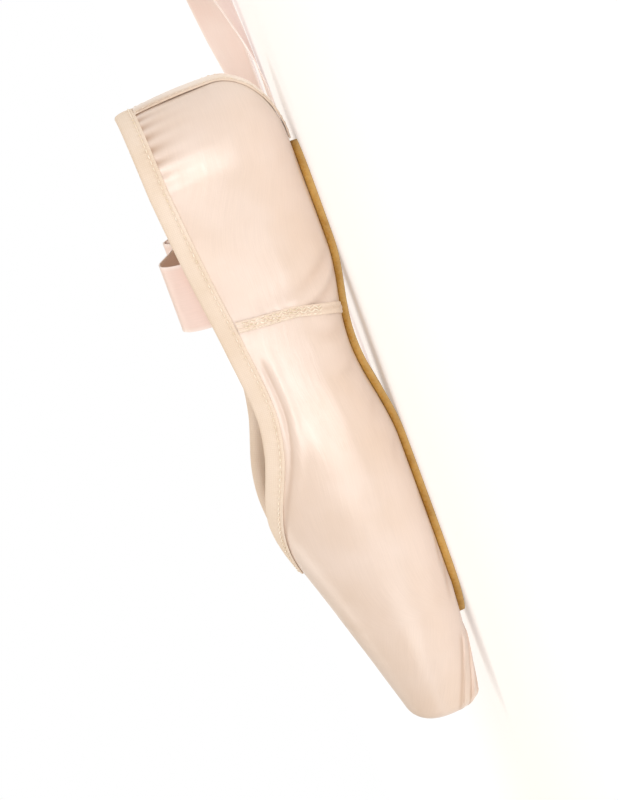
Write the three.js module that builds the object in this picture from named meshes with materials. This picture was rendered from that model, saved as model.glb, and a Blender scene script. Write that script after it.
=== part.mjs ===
import * as THREE from 'three';

// A pointe shoe, empty and standing on its sole.
// Millimetres. +X runs to the toe, +Y to the left side and +Z up.
// Stations s are measured from the back of the upper, so x = s - ORIGIN_S.

const PLATFORM_S = 237;
const ORIGIN_S = 118;
const HEEL_AXIS_S = 28;
const THROAT_S = 170;
const WALL = 2;
const PLATFORM_WALL = 4;
const CLEARANCE = 0.3;

// Round of the platform's edge, and the fullness of the sections at their shoulders.
const PLATFORM_ROUND = 3.2;
const SHOULDER_FULLNESS = 0.05;

// Underside: thickness of the sole leather, the arch under the waist, and the toe spring.
const OUTSOLE_THICK = 2.6;
const ARCH = { from: 64, to: 136, rise: 4.5 };
const TOE_SPRING = { from: 186, rate: 0.0018 };

// Outsole outline: round ends, and the half widths between them.
const OUTSOLE = { heel: 30, heelRadius: 12.5, toe: 208, toeRound: 32, edge: 0.8 };
const OUTSOLE_HALVES = [
  { s: 30, half: 12.5 },
  { s: 60, half: 13.0 },
  { s: 90, half: 12.2 },
  { s: 120, half: 17.0 },
  { s: 148, half: 23.6 },
  { s: 165, half: 25.3 },
  { s: 185, half: 24.6 },
  { s: 208, half: 22.0 },
];

// The turned edge of the upper reaches this far in under the outsole, and closes ahead of HOLE_TOE_S.
const TURNED_EDGE = 6;
const HOLE_HEEL_S = 44;
const HOLE_MEETS_S = 60;
const HOLE_TOE_S = 197;
const HOLE_ROUND_S = 172;

// Sections of the last: half width, height of the widest level, half of the flat under it, and the top
// centre line. Behind the throat the top line is the one that the foot's instep would have.
const SECTIONS = [
  { s: 28, half: 28.8, wide: 22.0, flat: 9.5, crown: 95.0 },
  { s: 55, half: 29.3, wide: 21.5, flat: 13.5, crown: 93.0 },
  { s: 85, half: 30.4, wide: 21.5, flat: 14.0, crown: 88.0 },
  { s: 110, half: 33.8, wide: 20.0, flat: 17.5, crown: 79.0 },
  { s: 135, half: 38.2, wide: 18.4, flat: 23.5, crown: 66.5 },
  { s: 157, half: 40.0, wide: 17.4, flat: 26.5, crown: 56.0 },
  { s: 182, half: 38.9, wide: 17.2, flat: 26.0, crown: 47.5 },
  { s: 205, half: 34.4, wide: 17.8, flat: 20.5, crown: 40.5 },
  { s: 222, half: 28.6, wide: 18.6, flat: 16.0, crown: 35.6 },
  { s: 237, half: 22.8, wide: 19.4, flat: 12.6, crown: 31.4 },
];
const HEEL_BACK = { half: 28.0, flat: 2.0 };

// Collar edge: how far it stands down from the top centre line, as an angle round the section, at a distance
// behind the throat. The tip of the V is rounded by THROAT_ROUND.
const THROAT_ROUND = 3;
const COLLAR = [
  { s: 0, turn: 0 },
  { s: 10, turn: 14.0 },
  { s: 20, turn: 27.5 },
  { s: 30, turn: 40.5 },
  { s: 40, turn: 51.5 },
  { s: 50, turn: 59.5 },
  { s: 63, turn: 65.0 },
  { s: 87, turn: 67.2 },
  { s: 117, turn: 66.0 },
  { s: 143, turn: 64.9 },
  { s: 189, turn: 63.6 },
];

// Folds of the satin under the toe, fanning out to the platform: the height of each raised edge, and its
// level at a station.
const PLEATS = [
  { name: 'first', height: 0.9 },
  { name: 'second', height: 0.8 },
  { name: 'third', height: 0.6 },
];
const PLEAT_ROWS = [
  { s: 197, first: 0.78, second: 1.2, third: 1.42 },
  { s: 208.5, first: 0.55, second: 1.0, third: 1.3 },
  { s: 223, first: 0.82, second: 1.22, third: 1.5 },
  { s: 237, first: 1.1, second: 1.45, third: 1.7 },
];
const PLEAT_ZONE = { from: 208.5, full: 214, fade: 233 };
const PLEAT_EDGE = 0.04;

// Trim: outer and inner reach of the collar binding, and the strips over the seams.
const BINDING = { gap: 0.42, outside: 6, inside: 5, over: 1.2, thick: 0.7 };
const BACK_STRIP = { half: 6.2, thick: 0.7 };
const SIDE_STRIP = { half: 2, thick: 0.5, collarS: 79, soleS: 87, lowest: 1.3 };

// Insole board on the turned edge.
const INSOLE = { gap: 0.5, thick: 1.4, beyondFlat: 1.2, bevel: 3, toe: 208, toeRound: 22 };

// Ribbons: sewn inside the wall behind the side seams, and laid over the right side to the floor.
const RIBBON = { width: 24, thick: 0.5, s: 65, sewn: 22, gap: 1, steps: 56 };

// On the floor a ribbon leans outward as it turns, once the two have parted: steps before, and over how many.
const LEAN = { rate: 1.1, ribbon_left: { after: 0, over: 6 }, ribbon_right: { after: 8, over: 14 } };

// Facets.
const FAN_STEPS = 9;
const SIDE_STEPS = 23;
const VAMP_STEPS = 12;
const STEPS_TO_HOLE_TOE = 5;
const EDGE_STEPS = 4;
const COLLAR_STEPS = 8;

// Levels of the lower half of a profile, counted in bands: from the turned edge to the first fold's edge, its
// drop, on to the second fold's edge, its drop and so on, up to the widest level.
const LOWER_BANDS = [0, 0.5, 1, 2, 2.5, 3, 4, 5, 6, 6.33, 6.67, 7];

const FAN_LENGTH = (HEEL_AXIS_S * Math.PI) / 2;
const THROAT_U = THROAT_S - HEEL_AXIS_S;
const BOTTOM = OUTSOLE_THICK + CLEARANCE;

/** Smooth step from 0 to 1. */
function ease(t) {
  const c = Math.min(1, Math.max(0, t));
  return c * c * (3 - 2 * c);
}

/** Value of one column of a table at station s, on a smooth curve through its rows. */
function along(rows, name, s) {
  const last = rows.length - 1;
  if (s <= rows[0].s) return rows[0][name];
  if (s >= rows[last].s) return rows[last][name];
  let i = 0;
  while (rows[i + 1].s < s) i += 1;
  const slope = (k) => {
    const a = rows[Math.max(0, k - 1)];
    const b = rows[Math.min(last, k + 1)];
    return (b[name] - a[name]) / (b.s - a.s);
  };
  const span = rows[i + 1].s - rows[i].s;
  const t = (s - rows[i].s) / span;
  const t2 = t * t;
  const t3 = t2 * t;
  return (
    (2 * t3 - 3 * t2 + 1) * rows[i][name] +
    (t3 - 2 * t2 + t) * span * slope(i) +
    (3 * t2 - 2 * t3) * rows[i + 1][name] +
    (t3 - t2) * span * slope(i + 1)
  );
}

/** Height of the outsole's lower face over the floor. */
function ground(s) {
  const a = (s - ARCH.from) / (ARCH.to - ARCH.from);
  const arch = a > 0 && a < 1 ? ARCH.rise * Math.sin(Math.PI * a) ** 2 : 0;
  const past = Math.max(0, s - TOE_SPRING.from);
  return arch + TOE_SPRING.rate * past * past;
}

/** Half width of the outsole, with its two round ends. */
function outsoleHalf(s) {
  const heel = Math.max(0, OUTSOLE.heel + OUTSOLE.heelRadius - s) / OUTSOLE.heelRadius;
  const toe = Math.max(0, s - OUTSOLE.toe + OUTSOLE.toeRound) / OUTSOLE.toeRound;
  const round = Math.sqrt(Math.max(0, 1 - heel * heel)) * Math.sqrt(Math.max(0, 1 - toe ** 2.4));
  return along(OUTSOLE_HALVES, 'half', s) * round;
}

/** Edge of the opening under the upper, which the outsole closes, as plan s and y. */
function holeEdge(station) {
  if (station.s === undefined) {
    const radius = outsoleHalf(HOLE_HEEL_S) - TURNED_EDGE;
    return [HOLE_HEEL_S - radius * -station.ds, radius * station.dy];
  }
  const lead = Math.max(0, 1 - (station.s - HEEL_AXIS_S) / (HOLE_MEETS_S - HEEL_AXIS_S));
  const s = station.s + lead * (HOLE_HEEL_S - HEEL_AXIS_S);
  const t = Math.max(0, s - HOLE_ROUND_S) / (HOLE_TOE_S - HOLE_ROUND_S);
  const half = outsoleHalf(Math.min(s, HOLE_ROUND_S)) - TURNED_EDGE;
  return [s, half * Math.sqrt(Math.max(0, 1 - t * t))];
}

/** Section sizes at u: below 0 the sections fan round the heel's axis, above 0 they cross the shoe. */
function stationAt(u) {
  if (u >= 0) {
    const s = HEEL_AXIS_S + u;
    const sizes = {};
    ['half', 'wide', 'flat', 'crown'].forEach((name) => {
      sizes[name] = along(SECTIONS, name, s);
    });
    return { s, axis: s, ds: 0, dy: 1, ...sizes };
  }
  const angle = (1 + u / FAN_LENGTH) * (Math.PI / 2);
  const turn = Math.sin(angle) ** 2;
  const side = SECTIONS[0];
  return {
    axis: HEEL_AXIS_S,
    ds: -Math.cos(angle),
    dy: Math.sin(angle),
    half: HEEL_BACK.half + (side.half - HEEL_BACK.half) * turn,
    flat: HEEL_BACK.flat + (side.flat - HEEL_BACK.flat) * turn,
    wide: side.wide,
    crown: side.crown,
  };
}

/**
 * Point of the last. Level v runs 0 to 1 over the flat underneath, to 2 up to the widest level, and to 3 up
 * to the top line.
 */
function lastPoint(u, v, inset) {
  const station = stationAt(u);
  const { axis, ds, dy, half, wide, flat, crown } = station;
  const place = (r, z) => new THREE.Vector3(axis + ds * r - ORIGIN_S, dy * r, z);
  if (v <= 1) {
    const [holeS, holeY] = holeEdge(station);
    const s = holeS + (axis + ds * flat - holeS) * v;
    const y = holeY + (dy * flat - holeY) * v;
    return new THREE.Vector3(s - ORIGIN_S, y, ground(s) + BOTTOM + inset);
  }
  if (v <= 2) {
    const angle = (v - 1) * (Math.PI / 2);
    const r = flat + (half - inset - flat) * Math.sin(angle);
    const floor = ground(axis + ds * r) + BOTTOM + inset;
    return place(r, floor + (wide - floor) * (1 - Math.cos(angle)));
  }
  const angle = (v - 2) * (Math.PI / 2);
  const full = 1 + SHOULDER_FULLNESS * Math.sin(2 * angle) ** 2;
  const rise = (crown - inset - wide) * Math.sin(angle) * full;
  return place((half - inset) * Math.cos(angle) * full, wide + rise);
}

/** Level of the collar edge at u: 3, the top line, from the throat forward. */
function collarLevel(u) {
  const behind = Math.max(0, THROAT_U - u);
  const softened = Math.sqrt(behind * behind + 2 * THROAT_ROUND * behind);
  return 3 - along(COLLAR, 'turn', softened) / 90;
}

/** Level where a fold's raised edge lies at station s. */
function pleatLevel(pleat, s) {
  return along(PLEAT_ROWS, pleat.name, s);
}

/** Level of a band at station s. */
function bandLevel(band, s) {
  const marks = [0];
  PLEATS.forEach((pleat) => marks.push(pleatLevel(pleat, s), pleatLevel(pleat, s) + PLEAT_EDGE));
  marks.push(2);
  const i = Math.min(Math.floor(band), marks.length - 2);
  return marks[i] + (marks[i + 1] - marks[i]) * (band - i);
}

/** Outward relief of the folded satin under the toe. */
function pleatRelief(u, v) {
  const s = HEEL_AXIS_S + u;
  const zone = ease((s - PLEAT_ZONE.from) / (PLEAT_ZONE.full - PLEAT_ZONE.from));
  const fade = 1 - 0.6 * ease((s - PLEAT_ZONE.fade) / (PLATFORM_S - PLEAT_ZONE.fade));
  let from = -Infinity;
  for (const pleat of PLEATS) {
    const edge = pleatLevel(pleat, s);
    if (v <= edge + 1e-9) {
      const climb = Number.isFinite(from) ? Math.max(0, (v - from) / (edge - from)) : 1;
      return pleat.height * climb * zone * fade;
    }
    from = edge + PLEAT_EDGE;
  }
  return 0;
}

/** Collects triangles into one closed body, sharing vertices that coincide. */
class Body {
  constructor() {
    this.places = [];
    this.index = [];
    this.known = new Map();
  }

  vertex(point) {
    const key = [point.x, point.y, point.z].map((c) => Math.round(c * 2000)).join();
    if (!this.known.has(key)) {
      this.known.set(key, this.places.length / 3);
      this.places.push(point.x, point.y, point.z);
    }
    return this.known.get(key);
  }

  triangle(a, b, c) {
    const [i, j, k] = [a, b, c].map((point) => this.vertex(point));
    if (i !== j && j !== k && k !== i) this.index.push(i, j, k);
  }

  quad(a, b, c, d) {
    this.triangle(a, b, c);
    this.triangle(a, c, d);
  }

  /**
   * Skin between neighbouring rings of points; every ring is closed on itself. From point `back` on, a ring
   * runs back over its first points, and its faces are split the same way as theirs.
   */
  rings(rings, back = Infinity) {
    for (let i = 1; i < rings.length; i += 1) {
      const [one, two] = [rings[i - 1], rings[i]];
      one.forEach((point, j) => {
        const k = (j + 1) % one.length;
        if (j < back) this.quad(point, one[k], two[k], two[j]);
        else this.quad(one[k], two[k], two[j], point);
      });
    }
  }

  /** Flat end over a ring whose points pair up across it. */
  cap(ring, flip) {
    for (let i = 0; i + 1 < ring.length - 1 - i; i += 1) {
      const j = ring.length - 1 - i;
      if (flip) this.quad(ring[j], ring[j - 1], ring[i + 1], ring[i]);
      else this.quad(ring[i], ring[i + 1], ring[j - 1], ring[j]);
    }
  }

  /** Six times the volume that the faces enclose, below 0 when they face inward. */
  enclosed() {
    const corner = (i) => new THREE.Vector3().fromArray(this.places, 3 * this.index[i]);
    let sum = 0;
    for (let i = 0; i < this.index.length; i += 3) {
      sum += corner(i).dot(corner(i + 1).cross(corner(i + 2)));
    }
    return sum;
  }

  geometry() {
    if (this.enclosed() < 0) this.index.reverse();
    const geometry = new THREE.BufferGeometry();
    geometry.setAttribute('position', new THREE.Float32BufferAttribute(this.places, 3));
    geometry.setIndex(this.index);
    geometry.computeVertexNormals();
    return geometry;
  }
}

const mirror = (point) => new THREE.Vector3(point.x, -point.y, point.z);

/** Stations of the upper from the heel's centre to the platform: u and the inset of its rounded edge. */
function upperStations() {
  const stations = [];
  for (let i = 0; i < FAN_STEPS; i += 1) stations.push({ u: -FAN_LENGTH * (1 - i / FAN_STEPS), round: 0 });
  for (let i = SIDE_STEPS; i > 0; i -= 1) {
    stations.push({ u: THROAT_U * (1 - (i / SIDE_STEPS) ** 1.4), round: 0 });
  }
  const edgeU = PLATFORM_S - PLATFORM_ROUND - HEEL_AXIS_S;
  const step = (HOLE_TOE_S - THROAT_S) / STEPS_TO_HOLE_TOE;
  for (let i = 0; i < VAMP_STEPS; i += 1) stations.push({ u: THROAT_U + i * step, round: 0 });
  for (let i = 0; i <= EDGE_STEPS; i += 1) {
    const angle = ((i / EDGE_STEPS) * Math.PI) / 2;
    stations.push({
      u: edgeU + PLATFORM_ROUND * Math.sin(angle),
      round: PLATFORM_ROUND * (1 - Math.cos(angle)),
    });
  }
  return stations;
}

/** One profile of the upper's outer or inner face, from the turned edge to the collar or the top line. */
function upperProfile(station, inner) {
  const s = HEEL_AXIS_S + station.u;
  const back = inner ? PLATFORM_WALL * ease((s - THROAT_S) / (PLATFORM_S - THROAT_S)) : 0;
  const u = station.u - back;
  const top = collarLevel(station.u);
  const levels = LOWER_BANDS.map((band) => bandLevel(band, s));
  for (let i = 1; i <= COLLAR_STEPS; i += 1) levels.push(2 + ((top - 2) * i) / COLLAR_STEPS);
  return levels.map((v) => {
    const relief = inner || station.u < 0 ? 0 : pleatRelief(station.u, v);
    const point = lastPoint(u, v, station.round + (inner ? WALL : 0) - relief);
    const closed = s >= HOLE_TOE_S - 1e-6;
    if ((v === 0 && closed) || v === 3) point.y = 0;
    return point;
  });
}

/** Hollow upper: outer and inner skins, joined at the collar and at the turned edge. */
function buildUpper() {
  const body = new Body();
  const stations = upperStations();
  const outer = stations.map((station) => upperProfile(station, false));
  const inner = stations.map((station) => upperProfile(station, true));
  const last = outer[0].length - 1;
  const skin = (a, b, c, d, flip) => {
    if (flip) body.quad(d, c, b, a);
    else body.quad(a, b, c, d);
  };
  [1, -1].forEach((side) => {
    const put = (point) => (side > 0 ? point : mirror(point));
    const face = (a, b, c, d, flip) => skin(put(a), put(b), put(c), put(d), side > 0 ? flip : !flip);
    for (let i = 1; i < stations.length; i += 1) {
      for (let j = 1; j <= last; j += 1) {
        face(outer[i - 1][j - 1], outer[i][j - 1], outer[i][j], outer[i - 1][j], true);
        face(inner[i - 1][j - 1], inner[i][j - 1], inner[i][j], inner[i - 1][j], false);
      }
      const s = HEEL_AXIS_S + stations[i].u;
      if (s <= HOLE_TOE_S + 1e-6) face(outer[i - 1][0], outer[i][0], inner[i][0], inner[i - 1][0], false);
      if (s <= THROAT_S + 1e-6) {
        face(outer[i - 1][last], outer[i][last], inner[i][last], inner[i - 1][last], true);
      }
    }
  });
  const platform = (profile, flip) => {
    for (let j = 0; j < last; j += 1) {
      const [a, b] = [profile[j], profile[j + 1]];
      if (flip) body.quad(mirror(a), mirror(b), b, a);
      else body.quad(a, b, mirror(b), mirror(a));
    }
  };
  platform(outer[outer.length - 1], false);
  platform(inner[inner.length - 1], true);
  return body.geometry();
}

/** Sole leather, with the corner of its lower edge taken off. */
function buildOutsole() {
  const body = new Body();
  const rings = [];
  const steps = 44;
  for (let i = 0; i <= steps; i += 1) {
    const t = (1 - Math.cos((Math.PI * i) / steps)) / 2;
    const s = OUTSOLE.heel + (OUTSOLE.toe - OUTSOLE.heel) * (0.35 * (i / steps) + 0.65 * t);
    const half = Math.max(0.4, outsoleHalf(s));
    const z = ground(s);
    const x = s - ORIGIN_S;
    const foot = Math.max(0.2, half - OUTSOLE.edge);
    const side = (k) => [
      new THREE.Vector3(x, k * half, z + OUTSOLE_THICK),
      new THREE.Vector3(x, k * half, z + OUTSOLE.edge),
      new THREE.Vector3(x, k * foot, z),
    ];
    rings.push([...side(1), ...side(-1).reverse()]);
  }
  body.rings(rings);
  body.cap(rings[0], true);
  body.cap(rings[rings.length - 1], false);
  return body.geometry();
}

/** Insole board inside, with an upturned bevel along its edge. */
function buildInsole() {
  const body = new Body();
  const low = BOTTOM + WALL + INSOLE.gap;
  const outline = (grow) => {
    const points = [];
    for (let i = 0; i <= FAN_STEPS; i += 1) {
      const station = stationAt(-FAN_LENGTH * (1 - i / FAN_STEPS));
      const r = station.flat + grow;
      points.push([station.axis + station.ds * r, station.dy * r]);
    }
    const steps = 26;
    const toe = INSOLE.toe + grow - INSOLE.beyondFlat;
    for (let i = 1; i <= steps; i += 1) {
      const s = HEEL_AXIS_S + (toe - HEEL_AXIS_S) * Math.sin((Math.PI / 2) * (i / steps));
      const t = Math.max(0, s - toe + INSOLE.toeRound) / INSOLE.toeRound;
      const half = along(SECTIONS, 'flat', s) + grow;
      points.push([s, half * Math.sqrt(Math.max(0, 1 - t * t))]);
    }
    return points;
  };
  const faces = [
    { points: outline(INSOLE.beyondFlat), z: low },
    { points: outline(INSOLE.beyondFlat + INSOLE.bevel), z: low + INSOLE.thick },
  ].map(({ points, z }) => points.map(([s, y]) => new THREE.Vector3(s - ORIGIN_S, y, z + ground(s))));
  const [lower, upper] = faces;
  for (let i = 1; i < lower.length; i += 1) {
    body.quad(mirror(lower[i - 1]), mirror(lower[i]), lower[i], lower[i - 1]);
    body.quad(upper[i - 1], upper[i], mirror(upper[i]), mirror(upper[i - 1]));
    body.quad(lower[i - 1], lower[i], upper[i], upper[i - 1]);
    body.quad(mirror(upper[i - 1]), mirror(upper[i]), mirror(lower[i]), mirror(lower[i - 1]));
  }
  return body.geometry();
}

/** Steps from (u, v) over the last by a distance in a direction, and leaves the surface by an inset. */
function stepOver(u, v, direction, distance, inset) {
  const h = 0.01;
  const du = lastPoint(u + h, v, 0).sub(lastPoint(u - h, v, 0)).divideScalar(2 * h);
  const dv = lastPoint(u, v + h / 10, 0).sub(lastPoint(u, v - h / 10, 0)).divideScalar(h / 5);
  const [a, b, c] = [du.dot(du), du.dot(dv), dv.dot(dv)];
  const [p, q] = [du.dot(direction) * distance, dv.dot(direction) * distance];
  const det = a * c - b * b;
  return lastPoint(u + (p * c - q * b) / det, v + (a * q - b * p) / det, inset);
}

/** Outward normal of the last at (u, v). */
function lastNormal(u, v) {
  const h = 0.01;
  const du = lastPoint(u + h, v, 0).sub(lastPoint(u - h, v, 0));
  const dv = lastPoint(u, v + h / 10, 0).sub(lastPoint(u, v - h / 10, 0));
  return du.cross(dv).normalize().negate();
}

/** Binding folded over the collar edge: a U-shaped section carried round the collar. */
function buildBinding() {
  const body = new Body();
  const { gap, thick, over } = BINDING;
  const inside = WALL + gap;
  const section = [
    [-BINDING.outside, -gap],
    [-BINDING.outside, -gap - thick * 0.7],
    [-BINDING.outside / 2, -gap - thick],
    [0, -gap - thick],
    [over, 0],
    [over, WALL],
    [0, inside + thick],
    [-BINDING.inside, inside + thick * 0.7],
    [-BINDING.inside, inside],
    [-BINDING.inside / 2, inside],
    [gap, inside],
    [gap, -gap],
    [-BINDING.outside / 2, -gap],
  ];
  const rim = upperStations().filter(({ u }) => u <= THROAT_U + 1e-6);
  const points = rim.map(({ u }) => lastPoint(u, collarLevel(u), 0));
  const last = points.length - 1;
  const half = rim.map(({ u }, i) => {
    const before = i > 0 ? points[i - 1] : mirror(points[1]);
    const after = i < last ? points[i + 1] : mirror(points[last - 1]);
    const tangent = after.clone().sub(before).normalize();
    const level = collarLevel(u);
    const away = tangent.cross(lastNormal(u, level)).normalize();
    if (i === last) away.set(-1, 0, away.z * -Math.sign(away.x || -1));
    return section.map(([across, inset]) => {
      const point = stepOver(u, level, away, across, inset);
      if (i === 0 || i === last) point.y = 0;
      return point;
    });
  });
  const rings = [...half, ...half.slice(1, -1).reverse().map((ring) => ring.map(mirror)), half[0]];
  body.rings(rings);
  return body.geometry();
}

/** Closed patch over the last: rows of points on its lower and upper faces. */
function patch(rows) {
  const body = new Body();
  const rings = rows.map(({ under, over }) => [...under, ...over.slice().reverse()]);
  body.rings(rings, rows[0].under.length);
  body.cap(rings[0], true);
  body.cap(rings[rings.length - 1], false);
  return body.geometry();
}

/** Level at a distance under the collar edge at u. */
function levelBelowCollar(u, distance) {
  const level = collarLevel(u);
  const h = 0.01;
  const rate = lastPoint(u, level, 0).distanceTo(lastPoint(u, level - h, 0)) / h;
  return level - distance / rate;
}

/** Strip over the seam at the centre of the back, from the binding down to the outsole. */
function buildBackStrip() {
  const back = -FAN_LENGTH;
  const half = HEEL_BACK.half;
  const pointAt = (level, y, inset) => {
    if (level >= 2) {
      const r = lastPoint(back, level, 0).x + ORIGIN_S - HEEL_AXIS_S;
      const angle = Math.asin(Math.min(1, Math.abs(y) / -r));
      const point = lastPoint((angle / (Math.PI / 2) - 1) * FAN_LENGTH, level, inset);
      return new THREE.Vector3(point.x, Math.sign(y) * point.y, point.z);
    }
    const centre = HEEL_BACK.flat + (half - HEEL_BACK.flat) * Math.sin((level - 1) * (Math.PI / 2));
    const r = level <= 1 ? HEEL_BACK.flat * level : centre;
    const reach = Math.sqrt(r * r + y * y * (1 - (r / half) ** 2));
    const angle = reach > 0 ? Math.asin(Math.min(1, Math.abs(y) / reach)) : 0;
    const u = (angle / (Math.PI / 2) - 1) * FAN_LENGTH;
    const station = stationAt(Math.min(u, -1e-6));
    const share = (reach - station.flat) / (station.half - station.flat);
    if (share <= 0) {
      const s = HEEL_AXIS_S + station.ds * reach;
      return new THREE.Vector3(s - ORIGIN_S, Math.sign(y) * station.dy * reach, ground(s) + BOTTOM + inset);
    }
    const v = 1 + Math.asin(Math.min(1, share)) / (Math.PI / 2);
    const point = lastPoint(Math.min(u, -1e-6), v, inset);
    return new THREE.Vector3(point.x, Math.sign(y) * point.y, point.z);
  };
  const top = levelBelowCollar(back, BINDING.outside + CLEARANCE);
  const rows = [];
  const steps = 18;
  const columns = [-1, -0.5, 0, 0.5, 1];
  for (let i = 0; i <= steps; i += 1) {
    const level = i < 2 ? i * 0.9 : 1 + ((top - 1) * (i - 1)) / (steps - 1);
    const row = (inset) => columns.map((k) => pointAt(level, k * BACK_STRIP.half, inset));
    rows.push({ under: row(-CLEARANCE), over: row(-CLEARANCE - BACK_STRIP.thick) });
  }
  return patch(rows);
}

/** Raised strip over a side seam, from the binding down to the sole. */
function buildSideStrip(side) {
  const rows = [];
  const steps = 14;
  const collarU = SIDE_STRIP.collarS - HEEL_AXIS_S;
  const top = levelBelowCollar(collarU, BINDING.outside + 2 * CLEARANCE);
  for (let i = 0; i <= steps; i += 1) {
    const t = i / steps;
    const v = SIDE_STRIP.lowest + (top - SIDE_STRIP.lowest) * t;
    const centre = SIDE_STRIP.soleS + (SIDE_STRIP.collarS - SIDE_STRIP.soleS) * t - HEEL_AXIS_S;
    const row = (inset) =>
      [-1, 0, 1].map((k) => {
        const point = lastPoint(centre + k * SIDE_STRIP.half, v, inset);
        return side > 0 ? point : mirror(point);
      });
    const faces = [row(-CLEARANCE), row(-CLEARANCE - SIDE_STRIP.thick)];
    rows.push(side > 0 ? { under: faces[1], over: faces[0] } : { under: faces[0], over: faces[1] });
  }
  return patch(rows);
}

/** Route of a ribbon: up inside its own wall, over the right side's collar and along the floor. */
function ribbonRoute(name) {
  const u = RIBBON.s - HEEL_AXIS_S;
  const rim = lastPoint(u, collarLevel(u), 0);
  const x = rim.x;
  const inset = WALL + 2 * CLEARANCE + BINDING.thick + RIBBON.thick / 2 + 0.3;
  const sewn = [1, 0.6, 0.25].map((k) => lastPoint(u, levelBelowCollar(u, RIBBON.sewn * k), inset));
  const layer = name === 'ribbon_left' ? RIBBON.thick + RIBBON.gap : 0;
  const at = (out, up) => new THREE.Vector3(x, -rim.y - out, rim.z + up);
  const down = [
    at(-3.4 - layer, 2.6 + layer),
    at(0, 3.8 + layer),
    at(3.4 + layer, 1.8 + layer / 2),
    at(5 + layer, -6),
    at(5.8 + layer, -16),
    at(6.2 + layer, -28),
    at(6.8 + layer, -38),
  ];
  const flat = RIBBON.thick / 2 + CLEARANCE + layer;
  const lie = (rows) => rows.map(([s, y]) => new THREE.Vector3(s - ORIGIN_S, y, flat));
  if (name === 'ribbon_right') {
    return [
      ...sewn.map(mirror),
      at(-5.2, 0.4),
      ...down,
      new THREE.Vector3(x, -37.6, 3.6),
      ...lie([
        [65, -43], [65, -52], [61, -66], [49, -78], [32, -84], [13, -87], [-7, -96], [-17, -113],
        [-12, -131], [4, -143], [25, -147], [48, -143], [72, -137], [97, -136], [122, -141], [151, -149],
      ]),
    ];
  }
  return [
    ...sewn,
    new THREE.Vector3(x, rim.y - 5.4, rim.z + 1),
    new THREE.Vector3(x, rim.y - 9, rim.z + 6.5),
    new THREE.Vector3(x, rim.y - 17, rim.z + 9.5),
    new THREE.Vector3(x, rim.y - 28, rim.z + 6.5),
    new THREE.Vector3(x, rim.y - 40, rim.z + 2.6),
    new THREE.Vector3(x, -rim.y + 8, rim.z + 3),
    ...down,
    new THREE.Vector3(x, -38.8, 4.6),
    ...lie([
      [65, -45], [65.5, -55], [71, -69], [84, -79], [102, -83], [122, -81], [142, -75], [163, -71],
      [185, -73], [206, -81], [221, -95], [227, -112], [221, -129], [208, -140], [191, -146],
    ]),
  ];
}

/** Flat ribbon along its route. It leans outward where it turns on the floor. */
function buildRibbon(name) {
  const points = ribbonRoute(name);
  const curve = new THREE.CatmullRomCurve3(points, false, 'centripetal');
  curve.arcLengthDivisions = 2000;
  const fine = RIBBON.steps;
  const up = new THREE.Vector3(0, 0, 1);
  const length = curve.getLength();
  const centres = curve.getSpacedPoints(fine);
  const tangents = centres.map((_, i) => curve.getTangentAt(i / fine));
  const onFloor = centres.map((point, i) => point.z < 3 && i > fine / 6);
  const turning = centres.map((_, i) => {
    if (!onFloor[i]) return 0;
    const before = tangents[Math.max(0, i - 2)];
    const after = tangents[Math.min(fine, i + 2)];
    return before.x * after.y - before.y * after.x;
  });
  const rings = centres.map((centre, i) => {
    let sum = 0;
    for (let k = -2; k <= 2; k += 1) sum += turning[Math.min(fine, Math.max(0, i + k))];
    const start = onFloor.indexOf(true);
    const settle = ease((i - start - LEAN[name].after) / LEAN[name].over);
    const bank = Math.atan((sum / 5) * LEAN.rate) * settle;
    const flatAcross = new THREE.Vector3().crossVectors(up, tangents[i]).normalize();
    const across = onFloor[i] ? flatAcross : new THREE.Vector3(1, 0, 0);
    if (onFloor[i]) across.multiplyScalar(Math.cos(bank)).addScaledVector(up, -Math.sin(bank)).normalize();
    const normal = new THREE.Vector3().crossVectors(tangents[i], across).normalize();
    const lift = (Math.abs(Math.sin(bank)) * RIBBON.width) / 2;
    const middle = centre.clone().addScaledVector(up, lift);
    across.multiplyScalar(RIBBON.width / 2);
    normal.multiplyScalar(RIBBON.thick / 2);
    const corner = (a, b) => middle.clone().addScaledVector(across, a).addScaledVector(normal, b);
    return [corner(-1, -1), corner(1, -1), corner(1, 1), corner(-1, 1)];
  });
  const body = new Body();
  body.rings(rings, rings[0].length / 2);
  body.cap(rings[0], true);
  body.cap(rings[rings.length - 1], false);
  const geometry = body.geometry();
  geometry.userData.length = length;
  return geometry;
}

const FINISHES = {
  satin: { color: '#efdfd0', roughness: 0.42 },
  tape: { color: '#ead7bc', roughness: 0.62 },
  leather: { color: '#c8a050', roughness: 0.85 },
  board: { color: '#e6d8bd', roughness: 0.8 },
  ribbon: { color: '#f3d6cc', roughness: 0.4 },
};

const shoe = new THREE.Group();

function addPart(name, geometry, finish) {
  const material = new THREE.MeshStandardMaterial({ ...FINISHES[finish], metalness: 0 });
  const mesh = new THREE.Mesh(geometry, material);
  mesh.name = name;
  shoe.add(mesh);
}

addPart('outsole', buildOutsole(), 'leather');
addPart('insole', buildInsole(), 'board');
addPart('upper', buildUpper(), 'satin');
addPart('collar_binding', buildBinding(), 'tape');
addPart('backstay', buildBackStrip(), 'satin');
addPart('side_seam_left', buildSideStrip(1), 'satin');
addPart('side_seam_right', buildSideStrip(-1), 'satin');
addPart('ribbon_left', buildRibbon('ribbon_left'), 'ribbon');
addPart('ribbon_right', buildRibbon('ribbon_right'), 'ribbon');

export default shoe;
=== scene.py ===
"""A pointe shoe in ivory satin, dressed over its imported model.

Sizes are in millimetres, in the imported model's frame: +X runs to the toe, +Y to the left side and +Z up.
Stations s are measured from the back of the upper. Meshes are made in metres.
"""

from __future__ import annotations

import logging
import math
from dataclasses import dataclass, field
from enum import Enum
from typing import NamedTuple

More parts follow.
